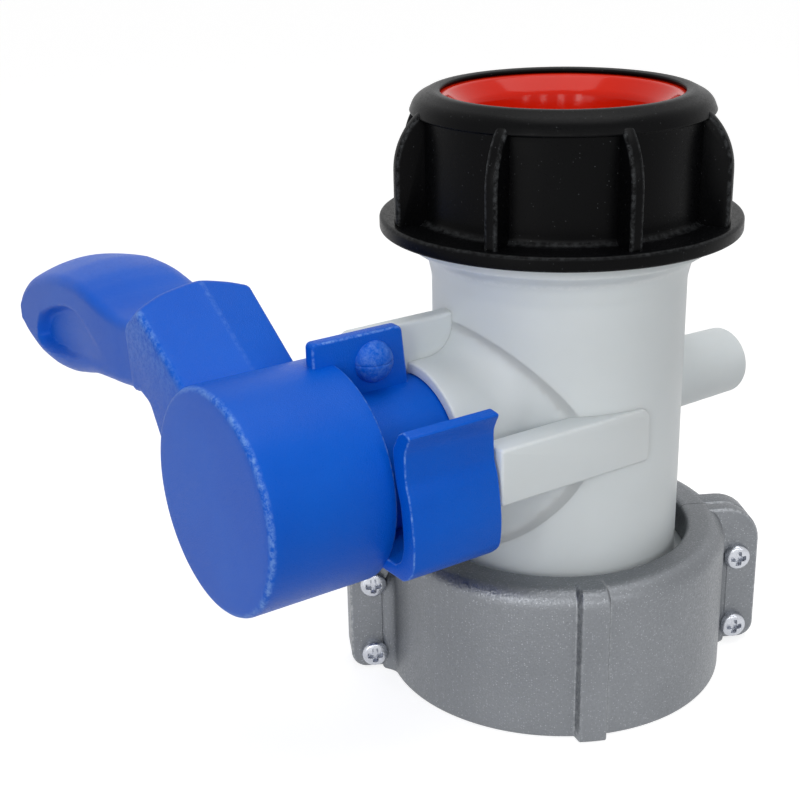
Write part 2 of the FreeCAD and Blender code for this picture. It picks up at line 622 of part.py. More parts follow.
def hook():
    """Springy J-shaped latch finger on the handle's front side, joined to the neck by a web."""
    def place(pair):
        return Vector(HUB_INNER, TONGUE_BACK - pair[0], STEM_Z + pair[1])

    def web(height):
        return Vector(HUB_INNER, HOOK_WEB_END, STEM_Z + height)

    edges = [smooth([place(pair) for pair in HOOK_FRONT]),
             Part.LineSegment(place(HOOK_FRONT[-1]), web(HOOK_WEB_BOTTOM)).toShape(),
             Part.LineSegment(web(HOOK_WEB_BOTTOM), web(HOOK_WEB_TOP)).toShape(),
             Part.LineSegment(web(HOOK_WEB_TOP), place(HOOK_BACK[0])).toShape(),
             smooth([place(pair) for pair in HOOK_BACK]),
             Part.LineSegment(place(HOOK_BACK[-1]), place(HOOK_FRONT[0])).toShape()]
    finger = Part.Face(Part.Wire(edges)).extrude(Vector(HOOK_RIGHT - HUB_INNER, 0, 0))
    low_start, low_arc = corner_arc((HOOK_RIGHT, HOOK_WEB_BOTTOM), HOOK_LOW_CORNER, (1, 0), (0, 1))
    top_start, top_arc = corner_arc((HOOK_RIGHT, HOOK_TIP), HOOK_TOP_CORNER, (0, 1), (-1, 0))
    side_view = outline([(HUB_INNER - 1, HOOK_WEB_BOTTOM), low_start, low_arc, top_start, top_arc,
                         (HUB_INNER - 1, HOOK_TIP)], lambda pair: Vector(pair[0], -BEYOND, STEM_Z + pair[1]))
    finger = finger.common(Part.Face(side_view).extrude(Vector(0, BEYOND, 0)))
    root = block((HUB_INNER - HOOK_ROOT, -HUB_R, STEM_Z + HOOK_WEB_BOTTOM),
                 (HUB_INNER, -NECK_R + HUB_WALL, STEM_Z + HOOK_WEB_TOP))
    return finger.fuse(root.common(rod_x(HUB_R, HUB_INNER - HOOK_ROOT, HUB_INNER)))


def pin_hole(gap):
    """Lock pin, or its hole when a gap is given: upright, from below the neck into the stem."""
    bottom = STEM_Z - NECK_R + (-PIN_R if gap else PIN_SUNK)
    return rod_z(PIN_R + gap, bottom, STEM_Z + PIN_TOP + gap, PIN_X)


def handle():
    """The blue moulding: hub, neck, lever arm, grip, fin and hook."""
    solid = hub().multiFuse([lever_arm(), grip()])
    solid = solid.cut(grip_pocket()).cut(hub_hollow())
    solid = solid.multiFuse([fin(), hook()])
    groove = tube_x(NECK_R + 1, RING_INNER_R - SEAT, RING_LEFT - SEAT, RING_LEFT + RING_WIDTH + SEAT)
    socket = square_bar(SQUARE_SIDE + 2 * SEAT, STEM_LEFT - SEAT, NECK_END + 1)
    boss_room = tube_x(BOSS_R + LOOSE, NECK_R, BOSS_END - LOOSE, HOOK_RIGHT + 1)
    return solid.cut(groove).cut(socket).cut(pin_hole(SEAT)).cut(boss_room)


# ---------------------------------------------------------------- stem and seals


def stem():
    """Stem: drive square through handle and disc, round journals in the two bushes, O-ring grooves."""
    shape = rod_x(JOURNAL_R, NECK_END, -SEAL_R)
    square = square_bar(SQUARE_SIDE, STEM_LEFT, SQUARE_RIGHT)
    shape = shape.multiFuse([square, rod_x(BLIND_JOURNAL_R, SQUARE_RIGHT - 1, STEM_RIGHT)])
    for middle in (ORING_OUTER_X, ORING_INNER_X):
        shape = shape.cut(oring(middle, JOURNAL_R, ORING_DEPTH, 1.0))
    shape = shape.cut(oring(ORING_BLIND_X, BLIND_JOURNAL_R, ORING_BLIND_DEPTH, 1.0))
    return shape.cut(pin_hole(SEAT))


def oring(middle, journal, depth, proud):
    """Ring in a stem groove; proud is how far it stands above the journal."""
    half = ORING_WIDTH / 2
    return tube_x(journal + proud, journal - depth, middle - half, middle + half)


def snap_ring():
    """Open ring in the neck's groove, with a gap at the bottom for fitting it."""
    ring = tube_x(RING_OUTER_R, RING_INNER_R, RING_LEFT, RING_LEFT + RING_WIDTH)
    half = RING_OPENING / 2
    return ring.cut(block((RING_LEFT - 1, -half, 0), (RING_LEFT + RING_WIDTH + 1, half, STEM_Z)))


# ---------------------------------------------------------------- disc


def lens(gap):
    """Whole disc: a plate thicker at the middle, with a barrel along the stem."""
    plate = turned([
        (0, STEM_Z - DISC_CROWN_HALF),
        (DISC_R - 8, STEM_Z - DISC_CROWN_HALF),
        (DISC_R, STEM_Z - DISC_EDGE_HALF),
        (DISC_R, STEM_Z + DISC_EDGE_HALF),
        (DISC_R - 8, STEM_Z + DISC_CROWN_HALF),
        (0, STEM_Z + DISC_CROWN_HALF),
    ])
    barrel = rod_x(DISC_HUB_R, -DISC_R + 1, DISC_R - 1)
    shape = plate.fuse(barrel).cut(square_bar(SQUARE_SIDE + 2 * gap, -BODY_R, BODY_R))
    tongue = tube_z(DISC_R + 3, SEAL_TONGUE_R, STEM_Z - SEAL_TONGUE_HALF, STEM_Z + SEAL_TONGUE_HALF)
    return shape.cut(tongue)


def disc_screws(gap):
    """Four screws through both disc halves, or their holes when a gap is given."""
    screws = []
    bottom = STEM_Z - DISC_EDGE_HALF + 0.4
    top = STEM_Z + DISC_CROWN_HALF - DISC_SCREW_HEAD
    for side_x in (-1, 1):
        for side_y in (-1, 1):
            x = side_x * DISC_SCREW_X
            y = side_y * DISC_SCREW_Y
            shank = rod_z(DISC_SCREW_R + gap, bottom - gap, top + 0.5, x, y)
            head = rod_z(DISC_SCREW_HEAD_R + gap, top, top + DISC_SCREW_HEAD + 3 * gap, x, y)
            screws.append(shank.fuse(head))
    return Part.makeCompound(screws)


def disc_half(side):
    """One half of the disc: side is +1 towards the outlet and -1 towards the tank."""
    low = STEM_Z if side > 0 else 0
    keep = block((-BODY_R, -BODY_R, low), (BODY_R, BODY_R, low + STEM_Z))
    return lens(SEAT).common(keep).cut(disc_screws(SEAT))


def disc_seal():
    """Rubber seal round the disc's edge: rounded rim, inner tongue and an eyelet at each stem end."""
    ball = Part.makeSphere(SEAL_R, Vector(0, 0, STEM_Z))
    rim = tube_z(SEAL_R + 1, DISC_R, STEM_Z - SEAL_HALF, STEM_Z + SEAL_HALF)
    tongue = tube_z(DISC_R + 1, SEAL_TONGUE_R, STEM_Z - SEAL_TONGUE_HALF, STEM_Z + SEAL_TONGUE_HALF)
    eyelets = rod_x(DISC_HUB_R, -SEAL_R, SEAL_R).cut(rod_z(DISC_R, STEM_Z - 20, STEM_Z + 20))
    seal = rim.multiFuse([tongue, eyelets]).common(ball)
    seal = seal.cut(lens(0))
    return seal.cut(square_bar(SQUARE_SIDE + 2 * SEAT, -BODY_R, BODY_R))


# ---------------------------------------------------------------- cap


def cap_rib(azimuth):
    """Grip rib of the cap: straight from the flange, then curving in to the dome."""
    half = CAP_RIB_THICK / 2
    foot = CAP_FLANGE_TOP - 0.5
    centre = CAP_RIB_R - CAP_RIB_CURVE

    def bend(degrees):
        angle = math.radians(degrees)
        return centre + CAP_RIB_CURVE * math.cos(angle), CAP_RIB_BEND + CAP_RIB_CURVE * math.sin(angle)

    steps = [
        (CAP_SKIRT_R - 1, foot),
        (CAP_RIB_R, foot),
        (CAP_RIB_R, CAP_RIB_BEND),
        (bend(CAP_RIB_SWEEP / 2), bend(CAP_RIB_SWEEP)),
        (CAP_SKIRT_R - 1, bend(CAP_RIB_SWEEP)[1]),
    ]
    wire = outline(steps, lambda pair: Vector(pair[0], -half, pair[1]))
    rib = Part.Face(wire).extrude(Vector(0, CAP_RIB_THICK, 0))
    outer = [edge for edge in rib.Edges if edge.CenterOfMass.x > CAP_RIB_R - 2
             and abs(edge.CenterOfMass.y) > half - 0.01 and edge.CenterOfMass.z > foot + 1]
    rib = rib.makeFillet(CAP_RIB_EDGE, outer)
    rib.rotate(Vector(0, 0, 0), Z_AXIS, azimuth)
    return rib


def cap_ring():
    """Black ring nut: flange, skirt, eight ribs, rolled top and inward lip."""
    ring = turned([
        (CAP_BORE_R, CAP_BOTTOM),
        (CAP_FLANGE_R, CAP_BOTTOM),
        (CAP_FLANGE_R, CAP_FLANGE_TOP),
        (CAP_SKIRT_R + 1.4, CAP_FLANGE_TOP),
        ((CAP_SKIRT_R + 0.4, CAP_FLANGE_TOP + 0.4), (CAP_SKIRT_R, CAP_FLANGE_TOP + 1.4)),
        (CAP_SKIRT_R, CAP_DOME_EDGE),
        (CAP_DOME_R, CAP_DOME_EDGE),
        ((CAP_DOME_R - 1.4, CAP_DOME_EDGE + 3.4), (CAP_CREST_R, CAP_CREST_Z)),
        ((CAP_OPENING_R + 0.5, CAP_CREST_Z - 0.5), (CAP_OPENING_R, CAP_CREST_Z - 1.6)),
        (CAP_OPENING_R, CAP_LIP_BOTTOM),
        (CAP_BORE_R, CAP_LIP_BOTTOM),
    ])
    ribs = [cap_rib(CAP_RIB_START + 360 * number / CAP_RIBS) for number in range(CAP_RIBS)]
    return ring.multiFuse(ribs)


def cap_insert():
    """Red dish: a rim held under the ring's lip, and a sloping wall down to a flat floor in the bore."""
    floor_top = INSERT_FLOOR + INSERT_WALL
    corner_r = INSERT_WALL_R - 4.0
    return turned([
        (0, INSERT_FLOOR),
        (corner_r, INSERT_FLOOR),
        ((INSERT_WALL_R - 2.0, INSERT_FLOOR + 0.8), (INSERT_WALL_R - 1.2, INSERT_FLOOR + 2.6)),
        (INSERT_WALL_R, SPIGOT_TOP),
        (INSERT_WALL_R, INSERT_RIM_BOTTOM),
        (INSERT_RIM_R, INSERT_RIM_BOTTOM),
        (INSERT_RIM_R, INSERT_RIM_TOP),
        (INSERT_MOUTH_R, INSERT_RIM_TOP),
        ((INSERT_MOUTH_R - 2.6, INSERT_RIM_TOP - 1.0), (INSERT_WALL_R - INSERT_WALL, INSERT_RIM_TOP - 4.0)),
        (INSERT_WALL_R - INSERT_WALL - 1.2, floor_top + 2.4),
        ((INSERT_WALL_R - INSERT_WALL - 2.0, floor_top + 0.7), (corner_r - 0.8, floor_top)),
        (0, floor_top),
    ])


def cap_gasket():
    """Flat seal between the insert's rim and the spigot's mouth."""
    return tube_z(INSERT_RIM_R - 0.4, INSERT_WALL_R + 0.1, SPIGOT_TOP, INSERT_RIM_BOTTOM)


# ---------------------------------------------------------------- collar


def collar_profile(extra):
    """Collar outline turned about the flow axis; extra swells the outside for the rib."""
    outside = COLLAR_R + extra
    top = COLLAR_TOP + COLLAR_RIB_RISE * extra
    shoulder = COLLAR_SHOULDER + COLLAR_RIB_ROUND * extra
    middle = shoulder * (1 - math.sqrt(0.5))
    return turned([
        (COLLAR_LIP_R, 0),
        (outside - COLLAR_FOOT_EDGE, 0),
        (outside, COLLAR_FOOT_EDGE),
        (outside, top - shoulder),
        ((outside - middle, top - middle), (outside - shoulder, top)),
        (COLLAR_LIP_R, top),
    ])


def ear_block(side):
    """Ear on one side of the collar, still spanning both halves; local x is outwards, y across the split."""
    low_start, low_arc = corner_arc((EAR_R, EAR_BOTTOM), EAR_LOW_CORNER, (1, 0), (0, 1))
    top_start, top_arc = corner_arc((EAR_R, COLLAR_TOP), EAR_TOP_CORNER, (0, 1), (-1, 0))
    root = COLLAR_BORE_R + COLLAR_WALL / 2
    inside = COLLAR_LIP_BOTTOM + COLLAR_LIP_THICK / 4
    steps = [(root, EAR_BOTTOM), low_start, low_arc, top_start, top_arc,
             (COLLAR_LIP_R, COLLAR_TOP), (COLLAR_LIP_R, inside), (root, inside)]
    wire = outline(steps, lambda pair: Vector(side * pair[0], -EAR_FRONT, pair[1]))
    return Part.Face(wire).extrude(Vector(0, EAR_FRONT + EAR_REAR, 0))


def collar_rib(side):
    """Upright stiffening rib in the middle of one half."""
    half = COLLAR_RIB_THICK / 2
    slab = block((-half, 0, -1), (half, BEYOND, BEYOND))
    if side < 0:
        slab.rotate(Vector(0, 0, 0), Z_AXIS, 180)
    return collar_profile(COLLAR_RIB_PROUD).common(slab)


def collar_screws(side, gap):
    """Two screws through one ear, or their holes when a gap is given."""
    screws = []
    for height in SCREW_HEIGHTS:
        at = Vector(side * SCREW_AT_R, -EAR_FRONT, height)
        shank = Part.makeCylinder(SCREW_R + gap, EAR_FRONT + EAR_REAR + gap, at, Vector(0, 1, 0))
        if gap == 0:
            start, arc = corner_arc((SCREW_HEAD_R, SCREW_HEAD), SCREW_HEAD_ROUND, (0, 1), (-1, 0))
            wire = outline([(0, 0), (SCREW_HEAD_R, 0), start, arc, (0, SCREW_HEAD)],
                           lambda pair: Vector(pair[0], -pair[1], 0))
            head = Part.Face(wire).revolve(Vector(0, 0, 0), Vector(0, 1, 0), 360)
            head.translate(at)
            shank = shank.fuse(head)
        screws.append(shank)
    return Part.makeCompound(screws)


def to_split(shape):
    """Turn a shape from the collar's local axes to the real split direction."""
    placed = shape.copy()
    placed.rotate(Vector(0, 0, 0), Z_AXIS, SPLIT_AZIMUTH)
    return placed


def collar_half(side):
    """One collar half: side is -1 for the screw-head half and +1 for the other."""
    solid = collar_profile(0).multiFuse([ear_block(1), ear_block(-1), collar_rib(side)])
    solid = solid.cut(rod_z(COLLAR_BORE_R, -1, COLLAR_LIP_BOTTOM)).cut(rod_z(COLLAR_LIP_R, -1, BEYOND))
    solid = solid.cut(rod_z(COLLAR_BORE_R + COLLAR_RELIEF, COLLAR_THREAD_LENGTH, COLLAR_LIP_BOTTOM))
    gap = SPLIT_GAP / 2
    low = gap if side > 0 else -BEYOND
    high = BEYOND if side > 0 else -gap
    solid = solid.common(block((-BEYOND, low, -1), (BEYOND, high, BEYOND)))
    solid = solid.cut(collar_screws(1, SEAT)).cut(collar_screws(-1, SEAT))
    return to_split(solid)


# ---------------------------------------------------------------- all nodes


def main():
    """Build every node and write it."""
    os.makedirs("parts", exist_ok=True)
    save("valve_body", valve_body())
    save("tank_gasket", tank_gasket())
    save("stem_bush_outer", tube_x(BUSH_R, JOURNAL_R + RUNNING, NECK_SEAT, BUSH_END))
    save("stem_bush_blind", tube_x(BLIND_BUSH_R, BLIND_JOURNAL_R + RUNNING, BLIND_BUSH_START, STEM_RIGHT))
    save("handle", handle())
    save("handle_lock_pin", pin_hole(0))
    save("neck_snap_ring", snap_ring())
    save("stem", stem())
    save("stem_oring_outer", oring(ORING_OUTER_X, JOURNAL_R, ORING_DEPTH, RUNNING / 2))
    save("stem_oring_inner", oring(ORING_INNER_X, JOURNAL_R, ORING_DEPTH, RUNNING / 2))
    save("stem_oring_blind", oring(ORING_BLIND_X, BLIND_JOURNAL_R, ORING_BLIND_DEPTH, RUNNING / 2))
    save("disc_outlet_half", disc_half(1))
    save("disc_tank_half", disc_half(-1))
    save("disc_seal", disc_seal())
    save("disc_screws", disc_screws(0))
    save("cap_ring", cap_ring())
    save("cap_insert", cap_insert())
    save("cap_gasket", cap_gasket())
    save("collar_front_half", collar_half(-1))
    save("collar_rear_half", collar_half(1))
    save("collar_screws_right", to_split(collar_screws(1, 0)))
    save("collar_screws_left", to_split(collar_screws(-1, 0)))


main()
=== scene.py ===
"""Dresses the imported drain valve: smooth moulded surfaces, threads, worn edges and finishes.

Lengths in this file are millimetres until a mesh is made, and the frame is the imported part's own:
+Z along the flow, the stem along X at STEM_Z with the handle at -X, the shut lever towards +Y.
"""
import logging
import math
from dataclasses import dataclass, field
from enum import Enum
from typing import Any, Callable, Optional, Sequence, Union

import bmesh
import bpy
import numpy as np
from mathutils import Matrix, Vector


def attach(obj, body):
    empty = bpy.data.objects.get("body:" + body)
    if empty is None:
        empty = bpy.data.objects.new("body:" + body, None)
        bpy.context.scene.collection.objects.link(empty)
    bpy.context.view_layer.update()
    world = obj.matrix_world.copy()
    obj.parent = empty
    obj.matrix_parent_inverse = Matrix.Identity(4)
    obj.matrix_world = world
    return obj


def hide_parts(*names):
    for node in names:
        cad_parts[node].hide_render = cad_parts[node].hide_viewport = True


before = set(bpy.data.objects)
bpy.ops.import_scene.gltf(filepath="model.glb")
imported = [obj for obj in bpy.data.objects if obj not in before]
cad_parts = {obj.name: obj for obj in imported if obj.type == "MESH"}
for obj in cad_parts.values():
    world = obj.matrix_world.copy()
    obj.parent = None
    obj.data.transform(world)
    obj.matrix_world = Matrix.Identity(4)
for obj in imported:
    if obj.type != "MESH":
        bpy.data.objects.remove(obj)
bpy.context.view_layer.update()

MM = 0.001
STEM_Z = 67.0
log = logging.getLogger("valve")
Array = np.ndarray
Node = bpy.types.Node
Tree = bpy.types.NodeTree


# ---------------------------------------------------------------- surfaces


def circle_part(start: float, stop: float, count: int) -> Array:
    """Evenly spaced angles in radians.

    Args:
        start: First angle in degrees.
        stop: Last angle in degrees.
        count: Number of angles, both ends included.

    Returns:
        The angles as one array.
    """
    return np.radians(np.linspace(start, stop, count))


def smoothstep(value: Array, low: float, high: float) -> Array:
    """Ease from 0 at low to 1 at high with the cubic 3t^2 - 2t^3.

    Args:
        value: Numbers to ease.
        low: Where the result leaves 0.
        high: Where the result reaches 1.

    Returns:
        Numbers between 0 and 1.
    """
    t = np.clip((value - low) / (high - low), 0.0, 1.0)
    return t * t * (3.0 - 2.0 * t)


def rounded(corners: Sequence[Sequence[float]], radii: Union[float, Sequence[float]], steps: int = 4,
            closed: bool = True) -> Array:
    """Polygon whose corners are arcs: each arc touches both sides at radius / tan(half the inner angle).

    Args:
        corners: Corner points of the polygon in its plane.
        radii: One radius for all corners, or one for each, where 0 keeps the corner's point alone.
        steps: Straight pieces in each arc.
        closed: Whether the last corner joins the first; if not, both end points stay as they are.

    Returns:
        Rows of (first, second, worn): the outline's points, and a wear that rises to 1 halfway round each arc.
    """
    points = np.asarray(corners, float)
    count = len(points)
    radii = np.broadcast_to(np.asarray(radii, float), (count,))
    rows = []
    for index in range(count):
        here = points[index]
        if radii[index] == 0.0 or (not closed and index in (0, count - 1)):
            rows.append([(here[0], here[1], 0.0)])
            continue
        back = points[index - 1] - here
        ahead = points[(index + 1) % count] - here
        back_length, ahead_length = np.hypot(*back), np.hypot(*ahead)
        back, ahead = back / back_length, ahead / ahead_length
        half = 0.5 * math.acos(float(np.clip(back @ ahead, -1.0, 1.0)))
        reach = min(radii[index] / max(math.tan(half), 1e-6), 0.48 * back_length, 0.48 * ahead_length)
        t = np.linspace(0.0, 1.0, steps + 1)[:, None]
        # a rational quadratic curve with the weight sin(half) is the exact arc
        weight = math.sin(half)
        start, stop = here + back * reach, here + ahead * reach
        blend = (1 - t) ** 2 + 2 * weight * t * (1 - t) + t ** 2
        arc = ((1 - t) ** 2 * start + 2 * weight * t * (1 - t) * here + t ** 2 * stop) / blend
        rows.append(np.column_stack([arc, np.sin(math.pi * t) ** 1.5]))
    return np.vstack(rows)


def densified(outline: Array, step: float) -> Array:
    """Open outline with points added so that none are further apart than step; worn values are kept at the ends.

    Args:
        outline: Rows of (first, second, worn).
        step: Longest distance between neighbours.

    Returns:
        Rows of (first, second, worn).
    """
    rows = [outline[:1]]
    for start, stop in zip(outline[:-1], outline[1:]):
        count = max(1, math.ceil(float(np.hypot(*(stop - start)[:2])) / step))
        t = np.arange(1, count + 1)[:, None] / count
        piece = start + (stop - start) * t
        if count > 2:
            piece[:-1, 2] = np.minimum(piece[:-1, 2], 0.0)
        rows.append(piece)
    return np.vstack(rows)


def curve_through(keys: Array, at: Array) -> Array:
    """Smooth values through keys: cubic pieces whose slopes are the neighbours' mean, limited so that none overshoot.

    Args:
        keys: Rows of (position, value, ...), in rising position.
        at: Positions to read.

    Returns:
        One row of values for each position.
    """
    keys = np.asarray(keys, float)
    x, y = keys[:, 0], keys[:, 1:]
    step = np.diff(x)[:, None]
    slope = np.diff(y, axis=0) / step
    middle = np.where(slope[:-1] * slope[1:] > 0,
                      2 * slope[:-1] * slope[1:] / (slope[:-1] + slope[1:] + 1e-12), 0.0)
    tangent = np.vstack([slope[:1], middle, slope[-1:]])
    place = np.clip(np.searchsorted(x, at, side="right") - 1, 0, len(x) - 2)
    t = ((at - x[place]) / step[place, 0])[:, None]
    h = step[place]
    return ((1 + 2 * t) * (1 - t) ** 2 * y[place] + t * (1 - t) ** 2 * h * tangent[place]
            + t ** 2 * (3 - 2 * t) * y[place + 1] + t ** 2 * (t - 1) * h * tangent[place + 1])


def closed_curve(points: Sequence[Sequence[float]], per_span: int = 8) -> Array:
    """Closed smooth loop through points: cubic pieces with each slope half the chord between the neighbours.

    Args:
        points: Points of the loop, the first not repeated.
        per_span: Points made between two given ones.

    Returns:
        The loop's points, the first not repeated.
    """
    p = np.asarray(points, float)
    tangent = (np.roll(p, -1, 0) - np.roll(p, 1, 0)) / 2
    ahead, ahead_tangent = np.roll(p, -1, 0), np.roll(tangent, -1, 0)
    t = (np.arange(per_span) / per_span)[None, :, None]
    loop = ((1 + 2 * t) * (1 - t) ** 2 * p[:, None] + t * (1 - t) ** 2 * tangent[:, None]
            + t ** 2 * (3 - 2 * t) * ahead[:, None] + t ** 2 * (t - 1) * ahead_tangent[:, None])
    return loop.reshape(-1, p.shape[1])


def outward(ring: Array) -> Array:
    """Unit normals of a closed plane loop, pointing out of it.

    Args:
        ring: Points (first, second) of the loop.

    Returns:
        One unit normal for each point.
    """
    ahead, back = np.roll(ring, -1, 0) - ring, ring - np.roll(ring, 1, 0)
    ahead = ahead / np.maximum(np.linalg.norm(ahead, axis=1, keepdims=True), 1e-9)
    back = back / np.maximum(np.linalg.norm(back, axis=1, keepdims=True), 1e-9)
    along = ahead + back
    along /= np.maximum(np.linalg.norm(along, axis=1, keepdims=True), 1e-9)
    area = 0.5 * np.sum(ring[:, 0] * np.roll(ring[:, 1], -1) - np.roll(ring[:, 0], -1) * ring[:, 1])
    side = 1.0 if area > 0 else -1.0
    return side * np.column_stack([along[:, 1], -along[:, 0]])


def distance_to(loop: Array, points: Array) -> Array:
    """Signed distance from points to a closed loop, negative inside it.

    Args:
        loop: Points (first, second) of the loop.
        points: Points (first, second) to test, in any array shape ending in 2.

    Returns:
        Distances in the shape of the tested points.
    """
    flat = points.reshape(-1, 2)
    start, stop = loop, np.roll(loop, -1, 0)
    side = stop - start
    gap = flat[:, None] - start[None]
    t = np.clip(np.sum(gap * side, -1) / np.maximum(np.sum(side * side, -1), 1e-12), 0, 1)
    near = np.min(np.linalg.norm(gap - side * t[..., None], axis=-1), axis=1)
    above = (start[None, :, 1] > flat[:, None, 1]) != (stop[None, :, 1] > flat[:, None, 1])
    with np.errstate(divide="ignore", invalid="ignore"):
        cross = start[:, 0] + side[:, 0] * (flat[:, None, 1] - start[:, 1]) / side[:, 1]
    inside = np.sum(above & (flat[:, None, 0] < cross), axis=1) % 2 == 1
    return np.where(inside, -near, near).reshape(points.shape[:-1])


def about_flow(profile: Array, angles: Array) -> Array:
    """Grid of a profile turned about the flow axis: (r cos a, r sin a, z).

    Args:
        profile: Rows beginning with (r, z).
        angles: Angles in radians.

    Returns:
        Grid of points, profile by angle.
    """
    r, z = profile[:, 0:1], profile[:, 1:2]
    return np.stack([r * np.cos(angles), r * np.sin(angles), z + 0 * angles], axis=-1)


def about_stem(profile: Array, angles: Array) -> Array:
    """Grid of a profile turned about the stem axis: (x, r cos a, STEM_Z + r sin a).

    Args:
        profile: Rows beginning with (x, r).
        angles: Angles in radians.

    Returns:
        Grid of points, profile by angle.
    """
    x, r = profile[:, 0:1], profile[:, 1:2]
    return np.stack([x + 0 * angles, r * np.cos(angles), STEM_Z + r * np.sin(angles)], axis=-1)


class Shell:
    """Grids and polygons of points, in millimetres, gathered into one mesh that knows where it is worn."""

    def __init__(self) -> None:
        """Start empty."""
        self.points: list[Array] = []
        self.worn: list[Array] = []
        self.faces: list[list[int]] = []
        self.count = 0

    def _store(self, points: Array, worn: Union[float, Array]) -> int:
        """Keep points and their worn values.

        Args:
            points: Points, in any array shape ending in 3.
            worn: Wear from 0 to 1, one number or one for each point.

        Returns:
            Index of the first point kept.
        """
        flat = points.reshape(-1, 3)
        first = self.count
        self.points.append(flat)
        self.worn.append(np.broadcast_to(np.asarray(worn, float), points.shape[:-1]).reshape(-1))
        self.count += len(flat)
        return first

    def grid(self, points: Array, worn: Union[float, Array] = 0.0, wrap: bool = False, loop: bool = False,
             keep: Optional[Array] = None) -> None:
        """Add a grid of points as four-sided faces.

        Args:
            points: Grid of points, rows by columns.
            worn: Wear from 0 to 1, one number, one for each row as a column, or one for each point.
            wrap: Whether the last column joins the first.
            loop: Whether the last row joins the first.
            keep: Which points show; a face whose corners all don't is left out.
        """
        first = self._store(points, worn)
        rows, columns = points.shape[:2]
        index = first + np.arange(rows * columns).reshape(rows, columns)
        if wrap:
            index = np.column_stack([index, index[:, 0]])
        if loop:
            index = np.vstack([index, index[:1]])
        quads = np.stack([index[:-1, :-1], index[:-1, 1:], index[1:, 1:], index[1:, :-1]], axis=-1).reshape(-1, 4)
        if keep is not None:
            quads = quads[keep.reshape(-1)[quads - first].any(axis=1)]
        self.faces.extend(quads.tolist())

    def polygon(self, ring: Array, worn: Union[float, Array] = 0.0) -> None:
        """Add one many-sided face.

        Args:
            ring: Points round the face.
            worn: Wear from 0 to 1.
        """
        first = self._store(ring, worn)
        self.faces.append(list(range(first, first + len(ring))))

    def loft(self, rings: Array, worn: Union[float, Array] = 0.0, ladder: bool = False) -> None:
        """Add a closed skin over rings, with a face over the first and the last.

        Args:
            rings: Grid of points, ring by point round the ring.
            worn: Wear as in grid.
            ladder: Whether each end is closed by strips from one side of the ring to the other, which
                suits the end of a thin bent plate that isn't flat.
        """
        self.grid(rings, worn, wrap=True)
        for ring in (rings[0], rings[-1]):
            if ladder:
                half = len(ring) // 2
                self.grid(np.stack([ring[:half], ring[::-1][:half]]))
            else:
                self.polygon(ring)

    def plate(self, outline: Array, low: float, high: float, edge: float,
              place: Callable[[Array, Array, Array], Array], steps: int = 3,
              worn: float = 1.0, ladder: bool = False) -> None:
        """Add a plate: an outline drawn in by edge * (1 - cos a) as it nears each face, which rounds its rim.

        Args:
            outline: Rows of (first, second, ...) of a closed outline.
            low: Lower face along the plate's own axis.
            high: Upper face.
            edge: Radius of the rim.
            place: Gives points from (first, second, height) arrays.
            steps: Pieces in each rounded rim.
            worn: Wear on the rims.
            ladder: As in loft.
        """
        ring = outline[:, :2]
        normal = outward(ring)
        turn = np.linspace(0.0, math.pi / 2, steps + 1)
        inset = np.concatenate([edge * (1 - np.sin(turn)), edge * (1 - np.sin(turn[::-1]))])
        height = np.concatenate([low + edge * (1 - np.cos(turn)), high - edge * (1 - np.cos(turn[::-1]))])
        wear = worn * np.concatenate([np.sin(2 * turn), np.sin(2 * turn[::-1])])
        first = ring[None, :, 0] - normal[None, :, 0] * inset[:, None]
        second = ring[None, :, 1] - normal[None, :, 1] * inset[:, None]
        self.loft(place(first, second, height[:, None] + 0 * first), wear[:, None], ladder)

    def piece(self, name: str, body: str, slot: str, material: bpy.types.Material, replaces: Sequence[str] = (),
              crease: float = 38.0) -> bpy.types.Object:
        """Make the mesh object, with its seams closed and its faces outwards, and let it ride.

        Args:
            name: Name of the object.
            body: Body that it rides on.
            slot: Name of a material slot; not used.
            material: Finish of the whole piece.
            replaces: Nodes that it stands for.
            crease: Edges sharper than this angle in degrees stay crisp.

        Returns:
            The new object.
        """
        mesh = bpy.data.meshes.new(name)
        mesh.from_pydata((np.vstack(self.points) * MM).tolist(), [], self.faces)
        worn = mesh.attributes.new("worn", "FLOAT", "POINT")
        worn.data.foreach_set("value", np.concatenate(self.worn).astype(np.float32))
        work = bmesh.new()
        work.from_mesh(mesh)
        bmesh.ops.remove_doubles(work, verts=work.verts, dist=2e-6)
        bmesh.ops.dissolve_degenerate(work, edges=work.edges, dist=1e-6)
        bmesh.ops.recalc_face_normals(work, faces=work.faces)
        work.to_mesh(mesh)
        work.free()
        # many-sided faces are flat ones, so that their neighbours' roundness isn't drawn across them
        sides = np.empty(len(mesh.polygons), dtype=np.int32)
        mesh.polygons.foreach_get("loop_total", sides)
        mesh.polygons.foreach_set("use_smooth", sides <= 4)
        mesh.set_sharp_from_angle(angle=math.radians(crease))
        mesh.materials.append(material)
        made = bpy.data.objects.new(name, mesh)
        bpy.context.scene.collection.objects.link(made)
        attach(made, body)
        if replaces:
            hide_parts(*replaces)
        log.info("%s: %d faces on %s", name, len(mesh.polygons), body)
        return made


def plane_yz(x: Array, y: Array, height: Array) -> Array:
    """Points whose outline lies across the stem and whose height is the distance along it."""
    return np.stack([height, x, STEM_Z + y], axis=-1)


def plane_xz(x: Array, y: Array, height: Array) -> Array:
    """Points whose outline lies in the plane of stem and flow, and whose height is along +Y."""
    return np.stack([x, height, STEM_Z + y], axis=-1)


# ---------------------------------------------------------------- finishes


def linear(code: str) -> tuple[float, float, float, float]:
    """Linear colour of an sRGB hex code.

    Args:
        code: Colour such as "#a1b2c3".

    Returns:
        Red, green, blue and an alpha of 1.
    """
    value = [int(code[i:i + 2], 16) / 255 for i in (1, 3, 5)]
    red, green, blue = [v / 12.92 if v <= 0.04045 else ((v + 0.055) / 1.055) ** 2.4 for v in value]
    return red, green, blue, 1.0


